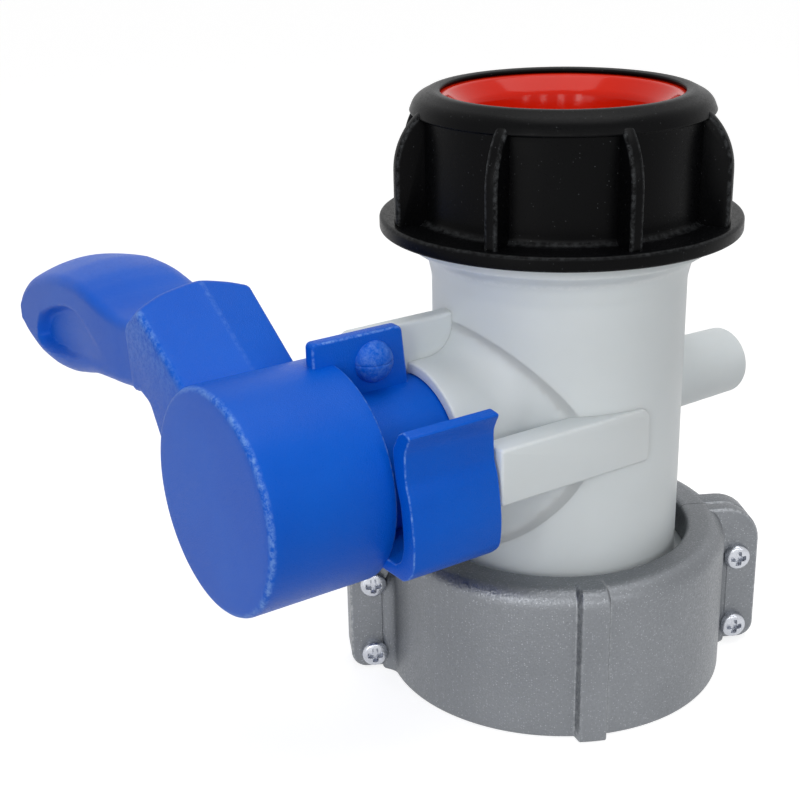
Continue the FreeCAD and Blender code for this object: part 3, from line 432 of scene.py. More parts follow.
def add(tree: Tree, kind: str, inputs: Optional[dict[Any, Any]] = None, **settings: Any) -> Node:
    """Add a node to a tree.

    Args:
        tree: Tree to add to.
        kind: Node type without its ShaderNode prefix.
        inputs: Values or output sockets, by input name or number.
        **settings: Properties of the node.

    Returns:
        The new node.
    """
    made = tree.nodes.new("ShaderNode" + kind)
    for name, value in settings.items():
        setattr(made, name, value)
    for key, value in (inputs or {}).items():
        if isinstance(value, bpy.types.NodeSocket):
            tree.links.new(value, made.inputs[key])
        else:
            made.inputs[key].default_value = value
    return made


def grain(size: float) -> float:
    """Texture scale whose features are about this many millimetres across."""
    return 1.0 / (size * MM)


@dataclass(frozen=True)
class Finish:
    """Common ground of the finishes: a principled shader with colour drift, a fine grain and worn edges."""

    name: str
    colour: str
    drift_colour: str                 # what the colour drifts towards in broad, faint patches
    roughness: float
    drift_size: float = 25.0          # millimetres
    drift: float = 0.5
    grain_size: float = 0.35
    grain_height: float = 0.01        # millimetres
    grain_strength: float = 0.3
    rough_spread: float = 0.08
    worn_colour: str = "#ffffff"
    worn: float = 0.0
    metallic: float = 0.0
    ior: Optional[float] = None
    specular: float = 0.5
    subsurface: float = 0.0
    subsurface_reach: tuple[float, float, float] = (1.0, 1.0, 1.0)   # millimetres
    coat: float = 0.0
    coat_roughness: float = 0.1
    # specks painted into the base colour: dust on the black nut, painted glints on the cast collar
    dust_and_painted_glint: float = 0.0              # share of the surface in fine bright specks
    dust_and_painted_glint_colour: str = "#ffffff"
    dust_and_painted_glint_size: float = 0.5
    orange_peel: float = 0.0          # height of a broad waviness, millimetres
    orange_size: float = 6.0

    def build(self) -> bpy.types.Material:
        """Make the material.

        Returns:
            The new material.
        """
        made = bpy.data.materials.new(self.name)
        made.use_nodes = True
        tree = made.node_tree
        shader = tree.nodes["Principled BSDF"]
        place = add(tree, "TexCoord").outputs["Object"]
        drift = add(tree, "TexNoise", {"Vector": place, "Scale": grain(self.drift_size), "Detail": 3.0})
        drift = add(tree, "MapRange", {"Value": drift.outputs["Fac"], "From Min": 0.35, "From Max": 0.65,
                                       "To Max": self.drift})
        colour = add(tree, "Mix", {"Factor": drift.outputs["Result"], "A": linear(self.colour),
                                   "B": linear(self.drift_colour)}, data_type="RGBA").outputs["Result"]
        fine = add(tree, "TexNoise", {"Vector": place, "Scale": grain(self.grain_size), "Detail": 2.0,
                                      "Roughness": 0.6})
        rough = add(tree, "MapRange", {"Value": fine.outputs["Fac"], "From Min": 0.3, "From Max": 0.7,
                                       "To Min": self.roughness - self.rough_spread,
                                       "To Max": self.roughness + self.rough_spread}).outputs["Result"]
        if self.worn:
            colour, rough = self._wear(tree, place, colour, rough)
        # bright specks painted into the colour: dust on the black nut and painted glints on the cast collar
        if self.dust_and_painted_glint:
            colour = self._dust_and_painted_glint(tree, place, colour)
        bump = add(tree, "Bump", {"Height": fine.outputs["Fac"], "Strength": self.grain_strength,
                                  "Distance": self.grain_height * MM})
        if self.orange_peel:
            wave = add(tree, "TexNoise", {"Vector": place, "Scale": grain(self.orange_size), "Detail": 1.0})
            bump = add(tree, "Bump", {"Height": wave.outputs["Fac"], "Strength": 1.0,
                                      "Distance": self.orange_peel * MM, "Normal": bump.outputs["Normal"]})
        tree.links.new(colour, shader.inputs["Base Color"])
        tree.links.new(rough, shader.inputs["Roughness"])
        tree.links.new(bump.outputs["Normal"], shader.inputs["Normal"])
        shader.inputs["Metallic"].default_value = self.metallic
        if self.ior:
            shader.inputs["IOR"].default_value = self.ior
        shader.inputs["Specular IOR Level"].default_value = self.specular
        shader.inputs["Coat Weight"].default_value = self.coat
        shader.inputs["Coat Roughness"].default_value = self.coat_roughness
        if self.subsurface:
            shader.inputs["Subsurface Weight"].default_value = self.subsurface
            shader.inputs["Subsurface Scale"].default_value = MM
            shader.inputs["Subsurface Radius"].default_value = self.subsurface_reach
        return made

    def _wear(self, tree: Tree, place: Any, colour: Any, rough: Any) -> tuple[Any, Any]:
        """Whiten and dull the worn edges, broken up by a scratchy noise.

        Args:
            tree: Material tree.
            place: Object coordinates.
            colour: Colour socket so far.
            rough: Roughness socket so far.

        Returns:
            New colour and roughness sockets.
        """
        worn = add(tree, "Attribute", attribute_name="worn").outputs["Fac"]
        broken = add(tree, "TexNoise", {"Vector": place, "Scale": grain(1.3), "Detail": 6.0, "Roughness": 0.75})
        level = add(tree, "MapRange", {"Value": broken.outputs["Fac"], "From Min": 0.42, "From Max": 0.62})
        mask = add(tree, "Math", {0: worn, 1: level.outputs["Result"]}, operation="MULTIPLY").outputs[0]
        mask = add(tree, "Math", {0: mask, 1: self.worn}, operation="MULTIPLY", use_clamp=True).outputs[0]
        colour = add(tree, "Mix", {"Factor": mask, "A": colour, "B": linear(self.worn_colour)},
                     data_type="RGBA").outputs["Result"]
        rough = add(tree, "Mix", {"Factor": mask, "A": rough, "B": 0.6}, data_type="FLOAT").outputs["Result"]
        return colour, rough

    def _dust_and_painted_glint(self, tree: Tree, place: Any, colour: Any) -> Any:
        """Scatter fine bright specks: cells of a random pattern whose random value is above a level; they are dust on
        the black nut and painted glints on the cast collar.

        Args:
            tree: Material tree.
            place: Object coordinates.
            colour: Colour socket so far.

        Returns:
            New colour socket.
        """
        cells = add(tree, "TexVoronoi", {"Vector": place, "Scale": grain(self.dust_and_painted_glint_size)})
        pick = add(tree, "SeparateColor", {"Color": cells.outputs["Color"]}).outputs["Red"]
        mask = add(tree, "MapRange", {"Value": pick, "From Min": 1 - self.dust_and_painted_glint, "From Max": 1.0}).outputs["Result"]
        near = add(tree, "MapRange", {"Value": cells.outputs["Distance"], "From Min": 0.45, "From Max": 0.15})
        mask = add(tree, "Math", {0: mask, 1: near.outputs["Result"]}, operation="MULTIPLY").outputs[0]
        return add(tree, "Mix", {"Factor": mask, "A": colour, "B": linear(self.dust_and_painted_glint_colour)},
                   data_type="RGBA").outputs["Result"]


class Paint(Enum):
    """Every finish of the valve, made once and shared."""

    # natural polyethylene, injection moulded: milky, slightly see-through, a satin skin
    NATURAL = Finish("natural_polyethylene_moulded", "#dde3e5", "#d3d9db", 0.42, grain_size=0.6,
                     grain_height=0.012, subsurface=0.35, subsurface_reach=(2.2, 2.4, 2.6), rough_spread=0.06,
                     worn_colour="#ffffff", worn=0.25, orange_peel=0.02)
    # blue polyethylene, injection moulded with a spark-eroded grain: satin, edges rubbed whitish
    BLUE = Finish("blue_polyethylene_grained", "#0056c6", "#005fd0", 0.38, specular=0.14, grain_size=0.3, grain_height=0.09, rough_spread=0.16,
                  grain_strength=1.0, worn_colour="#86aeea", worn=0.7, orange_peel=0.02)
    # black polypropylene, injection moulded: semi-gloss, dusty, grip ribs scuffed grey
    BLACK = Finish("black_polypropylene_moulded", "#050506", "#08090a", 0.34, specular=0.06, grain_size=0.5, grain_height=0.01,
                   worn_colour="#4a4c4e", worn=0.7, dust_and_painted_glint=0.02, dust_and_painted_glint_colour="#4a4c4e", dust_and_painted_glint_size=0.35,
                   orange_peel=0.02)
    # red polypropylene, injection moulded in a polished tool: glossy
    RED = Finish("red_polypropylene_polished", "#cb2008", "#c01a06", 0.12, specular=0.14, grain_size=0.8, grain_height=0.003,
                 rough_spread=0.03, orange_peel=0.015)
    # aluminium, pressure die-cast and tumbled: dull grey skin, with fine bright specks painted into the colour as
    # glints
    CAST = Finish("aluminium_die_cast_tumbled", "#7f8286", "#74777b", 0.44, metallic=1.0, grain_size=0.5,
                  grain_height=0.12, grain_strength=1.0, rough_spread=0.14, worn_colour="#d2d5d8", worn=0.5,
                  dust_and_painted_glint=0.35, dust_and_painted_glint_colour="#a9acb0", dust_and_painted_glint_size=0.4, orange_peel=0.04, orange_size=4.0)
    # steel, bright zinc plated
    ZINC = Finish("steel_zinc_plated", "#c3c6cc", "#b3b6bf", 0.28, metallic=1.0, grain_size=0.4, worn_colour="#e8eaee",
                  worn=0.4)
    # stainless steel, turned
    STAINLESS = Finish("stainless_steel_turned", "#c0c1c2", "#b4b5b6", 0.3, metallic=1.0, grain_size=0.2)
    # ethylene-propylene rubber, moulded
    RUBBER = Finish("rubber_moulded_black", "#171717", "#1f1f1f", 0.7, grain_size=0.25, grain_height=0.02)
    # nylon with glass fibre, moulded: dark, slightly streaked
    NYLON = Finish("nylon_glass_filled", "#232427", "#303236", 0.5, drift_size=3.0, grain_size=0.2, grain_height=0.02)
    # acetal, turned: ivory white, satin
    ACETAL = Finish("acetal_turned", "#e9e7df", "#dedcd4", 0.35, grain_size=0.3)
    # polypropylene, natural, moulded: the disc
    DISC = Finish("natural_polypropylene_moulded", "#d5d5d0", "#cbcbc6", 0.4, grain_size=0.4, worn_colour="#f2f2f0",
                  worn=0.3, orange_peel=0.02)
    # polyethylene foam, die-cut
    FOAM = Finish("polyethylene_foam_cut", "#dddcd6", "#cfcec8", 0.8, grain_size=0.4, grain_height=0.08,
                  grain_strength=0.8)

    def __init__(self, finish: Finish) -> None:
        """Keep the finish; its material is made when it is first asked for."""
        self.finish = finish
        self.made: Optional[bpy.types.Material] = None

    @property
    def material(self) -> bpy.types.Material:
        """The finish's one material."""
        if self.made is None:
            self.made = self.finish.build()
        return self.made


def dress(node: str, paint: Paint) -> None:
    """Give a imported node's own mesh a finish.

    Args:
        node: Name of the node.
        paint: Its finish.
    """
    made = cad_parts[node]
    made.data.materials.clear()
    made.data.materials.append(paint.material)
    log.info("%s: dressed in %s", node, paint.name)


# ---------------------------------------------------------------- valve body


def thread(z: Array, angle: Array, pitch: float, phase: float = 0.0) -> Array:
    """Height of a right-handed rounded thread, from 0 in its root to 1 on its flat crest.

    Its turn count at a point is (z - pitch * angle / 360) / pitch; a cosine of it is steepened and clipped.

    Args:
        z: Heights.
        angle: Angles in radians.
        pitch: Rise for one turn.
        phase: Share of a turn that the crest is moved by.

    Returns:
        Heights from 0 to 1.
    """
    turns = z / pitch - angle / (2 * math.pi) + phase
    return smoothstep(np.cos(2 * math.pi * turns), -0.45, 0.45)


@dataclass
class ValveBody:
    """The white moulding: tube, flanges, threaded spigot, stem boss, blind stub, latch bar and stop arm."""

    tube_r: float = 30.0
    bore_r: float = 24.5
    flange_r: float = 36.9
    flange_bottom: float = 23.0
    flange_top: float = 28.9
    flare_start: float = 104.5
    stop_r: float = 35.5
    stop_bottom: float = 109.5
    stop_top: float = 112.5
    spigot_r: float = 27.2
    spigot_top: float = 139.5
    thread_height: float = 2.6
    pitch: float = 6.0
    boss_r: float = 20.2
    boss_end: float = -42.3
    boss_flare: float = 7.2           # how far out of the boss its flare meets the tube
    neck_room_r: float = 17.6
    neck_seat: float = -36.2
    bush_r: float = 10.5
    stub_r: float = 8.9
    stub_tip_r: float = 8.55
    stub_end: float = 57.8
    stub_flare: float = 2.2
    columns: int = 240

    def tube(self, shell: Shell) -> None:
        """Closed profile turned about the flow axis, with the outlet thread and two holes for boss and stub.

        Args:
            shell: Shell to add to.
        """
        low = rounded([(self.bore_r, self.flange_bottom), (self.flange_r, self.flange_bottom),
                       (self.flange_r, self.flange_top), (self.tube_r, self.flange_top),
                       (self.tube_r, self.flare_start - 3), (self.tube_r + 1.1, self.flare_start + 2),
                       (self.stop_r, self.stop_bottom), (self.stop_r, self.stop_top), (self.spigot_r, self.stop_top),
                       (self.spigot_r, self.spigot_top), (self.bore_r, self.spigot_top),
                       (self.bore_r, self.flange_bottom)],
                      [0.3, 0.5, 0.5, 1.0, 9.0, 4.5, 0.7, 0.5, 0.5, 0.8, 0.5, 0.3], closed=False)
        profile = densified(low, 1.2)
        angles = circle_part(0, 360, self.columns + 1)[:-1]
        radius, z = profile[:, :1], profile[:, 1:2]
        outside = (radius > self.spigot_r - 0.1) & (z > self.stop_top + 1)
        run_in = smoothstep(z, self.stop_top + 1.5, self.stop_top + 3.5)
        run_out = 1 - smoothstep(z, self.spigot_top - 3.0, self.spigot_top - 1.0)
        raised = self.thread_height * thread(z, angles, self.pitch) * run_in * run_out * outside
        points = about_flow(profile, angles)
        direction = np.stack([np.cos(angles), np.sin(angles), 0 * angles], axis=-1)
        points = points + raised[..., None] * direction
        from_stem = np.hypot(points[..., 1], points[..., 2] - STEM_Z)
        skin = np.hypot(points[..., 0], points[..., 1]) > self.tube_r - 0.1
        boss_hole = (points[..., 0] < 0) & (from_stem < self.boss_r + self.boss_flare - 1.2) & skin
        stub_hole = (points[..., 0] > 0) & (from_stem < self.stub_r + self.stub_flare - 0.9) & skin
        shell.grid(points, profile[:, 2:3] * (profile[:, :1] > self.tube_r + 1), wrap=True,
                   keep=~(boss_hole | stub_hole))

    def branch(self, side: int, radius: float, flare: float, start: float, angles: Array) -> Array:
        """Flared root of a side branch: for each angle a cubic curve that leaves the branch along the stem
        and meets the tube tangentially at a distance from the stem axis.

        Args:
            side: -1 for the boss and +1 for the stub.
            radius: Radius of the branch.
            flare: How much wider its root is.
            start: Where the branch's own profile ends, as a distance from the flow axis.
            angles: Angles about the stem, in radians.

        Returns:
            Grid of points, step by angle.
        """
        wide = radius + flare
        across = (wide * np.cos(angles)) ** 2
        depth = np.sqrt(self.tube_r ** 2 - across)
        slope = -wide * np.cos(angles) ** 2 / depth
        near = np.sqrt(self.tube_r ** 2 - (radius * np.cos(angles)) ** 2) + flare
        t = np.linspace(0, 1, 14)[:, None]
        x = [np.full_like(angles, start), near, near - 0.6 * flare, depth - slope * 0.6 * flare, depth]
        r = [radius, radius, radius, wide - 0.6 * flare, wide]
        curve = [(1 - t) ** 3 * v[1] + 3 * t * (1 - t) ** 2 * v[2] + 3 * t ** 2 * (1 - t) * v[3] + t ** 3 * v[4]
                 for v in (x, r)]
        x_all = np.vstack([x[0][None], curve[0]])
        r_all = np.vstack([np.full_like(angles, radius)[None], curve[1] + 0 * angles])
        return np.stack([side * x_all, r_all * np.cos(angles), STEM_Z + r_all * np.sin(angles)], axis=-1)

    def boss(self, shell: Shell) -> None:
        """Stem boss with the room for the handle's neck, and its flared root.

        Args:
            shell: Shell to add to.
        """
        angles = circle_part(0, 360, 145)[:-1]
        end = rounded([(self.neck_seat + 5, self.bush_r), (self.neck_seat, self.bush_r),
                       (self.neck_seat, self.neck_room_r), (self.boss_end, self.neck_room_r),
                       (self.boss_end, self.boss_r), (self.boss_end + 4, self.boss_r)],
                      [0, 0.2, 0.3, 0.3, 0.55, 0], closed=False)
        shell.grid(about_stem(end, angles), end[:, 2:3] * (end[:, :1] < self.boss_end + 1), wrap=True)
        shell.grid(self.branch(-1, self.boss_r, self.boss_flare, -self.boss_end - 4, angles), wrap=True)

    def stub(self, shell: Shell) -> None:
        """Blind stub with a rounded end, and its flared root.

        Args:
            shell: Shell to add to.
        """
        angles = circle_part(0, 360, 97)[:-1]
        end = rounded([(self.stub_end, 0), (self.stub_end, self.stub_tip_r), (self.tube_r + 8, self.stub_r)],
                      [0, 1.7, 0], steps=6, closed=False)
        shell.grid(about_stem(end, angles), end[:, 2:3] * 0.5, wrap=True)
        shell.grid(self.branch(1, self.stub_r, self.stub_flare, self.tube_r + 8, angles), wrap=True)

    def latch(self, shell: Shell) -> None:
        """Front latch bar with its rounded end, and the tongue for the hook.

        Args:
            shell: Shell to add to.
        """
        bar = rounded([(-40.9, -4.3), (2.0, -4.3), (2.0, 9.0), (-40.9, 9.0)], [0.8, 1.2, 3.0, 0.8], steps=6)
        shell.plate(bar, -31.0, -24.5, 0.7, plane_xz, worn=0.6)
        tongue = rounded([(-44.6, -4.3), (-35.9, -4.3), (-35.9, 7.5), (-44.6, 7.5)], 0.8)
        shell.plate(tongue, -24.8, -22.5, 0.4, plane_xz, worn=0.3)

    def stop_arm(self, shell: Shell) -> None:
        """Upright arm on the boss, which runs into the tube's wall.

        Args:
            shell: Shell to add to.
        """
        inside_wall = -self.bore_r - 1.8
        neck_top = self.neck_room_r + 0.45
        over_boss = self.boss_end + 0.3
        arm = rounded([(-58.0, neck_top), (-58.0, 29.6), (inside_wall, 29.6), (inside_wall, 15.0), (over_boss, 15.0),
                       (over_boss, neck_top)], [1.0, 2.0, 1.0, 1.0, 1.0, 0.3])
        shell.plate(arm, 1.9, 5.9, 0.7, plane_xz, worn=0.6)

    def build(self) -> bpy.types.Object:
        """Make the moulding.

        Returns:
            The new piece.
        """
        shell = Shell()
        self.tube(shell)
        self.boss(shell)
        self.stub(shell)
        self.latch(shell)
        self.stop_arm(shell)
        return shell.piece("body_moulding", "valve", "hdpe_natural", Paint.NATURAL.material, ["valve_body"])

    def dress(self) -> None:
        """Give the inner pieces that stay on the body their finishes."""
        dress("tank_gasket", Paint.RUBBER)
        dress("stem_bush_outer", Paint.ACETAL)
        dress("stem_bush_blind", Paint.ACETAL)


# ---------------------------------------------------------------- handle


@dataclass
class Handle:
    """The blue moulding: hollow hub, neck, roofed lever arm, hand grip, fin with nub, and latch hook."""

    hub_r: float = 25.44
    outer: float = -94.5
    inner: float = -64.0
    wall: float = 3.0
    floor: float = 3.5
    neck_r: float = 17.3
    neck_end: float = -36.5
    side: float = -94.1               # the lever's outward side, a little behind the hub's end
    far_side: float = -64.6
    crease: float = -76.3             # where the lever's upper face turns away
    tilt: float = 31.2
    face: float = 13.2
    grip_sections: tuple = (
        ((33.0, 30.4), (33.0, 14.6), 1.0),
        ((45.5, 29.7), (45.2, 13.0), 1.0),
        ((54.0, 30.6), (52.5, 12.3), 1.0),
        ((61.0, 31.8), (60.2, 11.3), 1.0),
        ((67.0, 32.3), (67.0, 9.6), 1.0),
        ((75.0, 31.9), (75.5, 7.7), 1.0),
        ((83.0, 30.4), (84.5, 6.9), 1.0),
        ((91.1, 28.0), (92.8, 7.4), 1.0),
        ((98.3, 25.3), (99.0, 9.1), 0.97),
        ((103.0, 22.3), (103.2, 11.0), 0.88),
        ((105.4, 19.6), (105.2, 13.0), 0.76),
    )
    pocket: tuple = (
        (94.6, 13.4), (91.5, 19.0), (84.5, 22.6), (74.0, 25.6), (66.0, 25.6), (58.5, 22.6), (51.0, 18.9),
        (44.0, 17.0), (50.0, 16.0), (62.0, 13.9), (75.0, 11.3), (86.0, 10.2), (92.5, 10.8),
    )
    pocket_depth: float = 2.8
    nub_r: float = 4.8
    grip_side: tuple = ((33.0, -93.8), (40.0, -93.9), (47.0, -94.2), (62.0, -94.5), (106.0, -94.5))
    grip_crown: tuple = ((33.0, 0.3), (54.0, 1.2), (67.0, 2.0), (83.0, 3.2), (93.0, 4.2), (99.0, 4.0), (103.0, 2.8),
                         (105.4, 1.6))

    def hub(self, shell: Shell) -> None:
        """Closed profile turned about the stem: end face, rim, rounded inner edge, hollow and neck.

        Args:
            shell: Shell to add to.
        """
        cup = self.hub_r - self.wall
        floor = self.outer + self.floor
        profile = rounded([(self.outer, 0), (self.outer, self.hub_r), (self.inner, self.hub_r), (self.inner, cup),
                           (floor, cup), (floor, self.neck_r), (self.neck_end, self.neck_r), (self.neck_end, 0)],
                          [0, 1.5, 0.6, 0.5, 1.0, 1.0, 0.5, 0], steps=5, closed=False)
        profile = densified(profile, 2.0)
        shell.grid(about_stem(profile, circle_part(0, 360, 193)[:-1]), profile[:, 2:3], wrap=True)
        for number in range(6):
            angle = math.radians(30 + 60 * number)
            rib = rounded([(floor - 0.5, self.neck_r - 1), (self.inner - 2.5, self.neck_r - 1),
                           (self.inner - 2.5, cup + 1), (floor - 0.5, cup + 1)], 0.5)

            def across(x: Array, r: Array, height: Array, angle: float = angle) -> Array:
                """Points of a radial rib at its angle about the stem."""
                return np.stack([x, r * math.cos(angle) - height * math.sin(angle),
                                 STEM_Z + r * math.sin(angle) + height * math.cos(angle)], axis=-1)
            shell.plate(rib, -1.0, 1.0, 0.3, across, worn=0.3)

    def along(self, distance: Array, across: Array) -> tuple[Array, Array]:
        """Place on the lever as (y, height) from a distance along it and one across its tilt.

        Args:
            distance: Distance along the lever from the stem.
            across: Distance across it.

        Returns:
            The y values and the heights above the stem.
        """
        turn = math.radians(self.tilt)
        return (distance * math.cos(turn) - across * math.sin(turn),
                distance * math.sin(turn) + across * math.cos(turn))

    def arm(self, shell: Shell) -> None:
        """Roofed arm: its outline across the stem is drawn again at each depth, with the upper face tilted
        away beyond the crease and the top corner furthest out at the crease.

        Args:
            shell: Shell to add to.
        """
        edge = 1.6
        turn = np.linspace(0, math.pi / 2, 5)
        depths = np.concatenate([self.side + edge * (1 - np.cos(turn)), np.linspace(-91, -78, 10),
                                 [-77.2, -76.6, -76.0, -75.4], np.linspace(-74, -66, 6),
                                 self.far_side - 0.8 * (1 - np.cos(turn[::-1]))])
        inset = np.concatenate([edge * (1 - np.sin(turn)), np.zeros(20), 0.8 * (1 - np.sin(turn[::-1]))])
        away = np.clip(depths - self.crease, 0, None)
        rise = 0.045 * np.clip(depths - self.side, 0, self.crease - self.side)
        bulge = curve_through(np.array([(-95.0, 44.6), (-90, 47.6), (-84.7, 50.0), (-76.3, 51.4), (-70, 50.0),
                                        (-64.0, 47.0)]), depths)[:, 0]
        rings, wear = [], []
        for depth, drawn, slip, up, reach in zip(depths, inset, away, rise, bulge):
            foot = self.along(10.0, self.face - 0.25 * slip)
            corner = self.along(reach, self.face + up - 0.12 * slip)
            under = self.along(10.0, -9.0)
            outline = rounded([under, foot, corner, (40.0, 29.4), (38.0, 13.8), (33.9, 14.8), (29.2, 13.3), (23.5, 4.5)],
                              [2.0, 2.0, 2.2, 3.0, 2.2, 2.0, 3.0, 2.0], steps=6)
            ring = outline[:, :2] - outward(outline[:, :2]) * drawn
            rings.append(np.column_stack([np.full(len(ring), depth), ring[:, 0], STEM_Z + ring[:, 1]]))
            near_edge = math.exp(-((depth - self.side - 0.5) / 0.7) ** 2) * (ring[:, 1] > 18)
            near_crease = 0.6 * math.exp(-((depth - self.crease) / 0.45) ** 2) * (ring[:, 1] > 18)
            wear.append(np.maximum(near_edge, near_crease))
        shell.loft(np.array(rings), np.array(wear))

    def grip(self, shell: Shell) -> None:
        """Hand grip: rounded sections carried along the lever, with a sunk panel in the outward side.

        Args:
            shell: Shell to add to.
        """
        keys = np.array([(i, *top, *low, share) for i, (top, low, share) in enumerate(self.grip_sections)])
        rows = curve_through(keys, np.linspace(0, len(keys) - 1, 150))
        near_side = curve_through(np.array(self.grip_side), rows[:, 0])[:, 0]
        crown = curve_through(np.array(self.grip_crown), rows[:, 0])[:, 0]
        rings = []
        for (top_y, top_z, low_y, low_z, share), side, proud in zip(rows, near_side, crown):
            high, low = np.array([top_y, top_z]), np.array([low_y, low_z])
            half = np.linalg.norm(high - low) / 2
            up = (high - low) / (2 * half)
            wide = (self.far_side - 0.3 - side) / 2 * share
            far = min(6.5, 0.85 * half, 0.85 * wide)
            ring = rounded([(-wide, half), (-wide, -half), (wide, -half), (wide, half)],
                           [min(2.2, 0.6 * half), min(3.0, 0.6 * half), far, far], steps=8)
            ring = resample(ring[:, :2], 180)
            above = smoothstep(ring[:, 1] / half, 0.3, 1.0)
            across = ring[:, 1] + proud * above * np.sin(np.pi * (ring[:, 0] + wide) / (2 * wide)) ** 0.8
            centre = (high + low) / 2
            rings.append(np.column_stack([side + wide + ring[:, 0], centre[0] + across * up[0],
                                          STEM_Z + centre[1] + across * up[1]]))
        points = np.array(rings)
        gap = distance_to(closed_curve(self.pocket), np.stack([points[..., 1], points[..., 2] - STEM_Z], axis=-1))
        outward_side = smoothstep(-points[..., 0], -self.side - 5.0, -self.side - 1.5)
        fade = smoothstep(points[..., 1], 50.0, 88.0)
        points[..., 0] += self.pocket_depth * smoothstep(-gap, -0.2, 1.9) * outward_side * fade
        tip = points[-1].mean(axis=0)
        ends = [points[-1] + (tip - points[-1]) * share for share in (0.2, 0.45, 0.7, 0.9, 0.999)]
        shell.loft(np.concatenate([points, np.array(ends)]))

    def fin(self, shell: Shell) -> None:
        """Upright fin from hub to neck, and the nub on its front with a parting line round it.

        Args:
            shell: Shell to add to.
        """
        plate = rounded([(-69.5, 23.4), (-69.5, 30.8), (-46.5, 30.8), (-44.8, 15.3), (-65.0, 15.3)],
                        [1.0, 1.2, 1.5, 1.0, 1.0], steps=5)
        shell.plate(plate, -2.2, 1.1, 0.6, plane_xz)
        polar = np.linspace(0, math.pi / 2, 20)[:, None]
        around = circle_part(0, 360, 97)[:-1]
        height = np.sin(polar) * np.sin(around)
        radius = self.nub_r * (1 - 0.035 * np.exp(-(height / 0.035) ** 2))
        shell.grid(np.stack([-54.2 + radius * np.sin(polar) * np.cos(around), -1.9 - 0.85 * radius * np.cos(polar),
                             STEM_Z + 24.0 + radius * height], axis=-1), 0.35, wrap=True)

    def hook(self, shell: Shell) -> None:
        """J-shaped finger: an outline across the stem, extended along it, its right side rounded at both ends.

        Args:
            shell: Shell to add to.
        """
        front = np.array([(-28.6, 18.3), (-30.9, 17.4), (-29.1, 12.8), (-29.3, 7.5), (-30.7, 3.0), (-32.0, -6.7),
                          (-31.6, -12.0), (-29.5, -15.0), (-27.5, -16.2)])
        back = np.array([(-24.7, -13.2), (-26.8, -11.5), (-27.9, -7.1), (-27.3, 0.3), (-25.7, 5.8), (-24.6, 12.7),
                         (-25.7, 15.3), (-26.8, 17.3)])
        span = lambda keys, count: curve_through(np.column_stack([np.arange(len(keys)), keys]),
                                                 np.linspace(0, len(keys) - 1, count))
        outline = np.vstack([span(front, 60), [(-20.0, -16.2), (-8.0, -16.2), (-8.0, -13.2), (-20.0, -13.2)],
                             span(back, 60)])
        outline = resample(outline, 260)

        def place(y: Array, height: Array, x: Array) -> Array:
            """Points across the stem, with the right side drawn in near the bottom and the top."""
            low = np.clip((height + 16.2) / 3.0, 0, 1)
            high = np.clip((18.6 - height) / 1.5, 0, 1)
            drawn = 3.0 * (1 - np.sqrt(1 - (1 - low) ** 2)) + 1.5 * (1 - np.sqrt(1 - (1 - high) ** 2))
            share = (x + 64.6) / (64.6 - 41.5)
            return np.stack([x - drawn * share, y, STEM_Z + height], axis=-1)
        shell.plate(outline, -64.6, -41.5, 0.4, place, ladder=True)
        web = rounded([(-19.3, -16.2), (-12.0, -16.2), (-12.0, -13.2), (-19.3, -13.2)], 0.3)
        shell.plate(web, -68.0, -63.8, 0.2, plane_yz, worn=0.0)

    def build(self) -> bpy.types.Object:
        """Make the moulding.

        Returns:
            The new piece.
        """
        shell = Shell()
        self.hub(shell)
        self.arm(shell)
        self.grip(shell)
        self.fin(shell)
        self.hook(shell)
        return shell.piece("handle_moulding", "rotor", "hdpe_blue", Paint.BLUE.material, ["handle"], crease=32.0)

    def dress(self) -> None:
        """Give stem, disc and their small parts their finishes."""
        for node in ("stem_oring_outer", "stem_oring_inner", "stem_oring_blind", "disc_seal"):
            dress(node, Paint.RUBBER)
        for node in ("handle_lock_pin", "neck_snap_ring", "disc_screws"):
            dress(node, Paint.STAINLESS)
        for node in ("disc_outlet_half", "disc_tank_half"):
            dress(node, Paint.DISC)
        dress("stem", Paint.NYLON)


def resample(ring: Array, count: int) -> Array:
    """Points spread evenly round a closed loop.

    Args:
        ring: Points of the loop, the first not repeated.
        count: Number of points wanted.

    Returns:
        The new loop.
    """
    closed = np.vstack([ring, ring[:1]])
    length = np.concatenate([[0], np.cumsum(np.linalg.norm(np.diff(closed, axis=0), axis=1))])
    at = np.linspace(0, length[-1], count, endpoint=False)
    return np.column_stack([np.interp(at, length, closed[:, i]) for i in range(ring.shape[1])])


# ---------------------------------------------------------------- cap


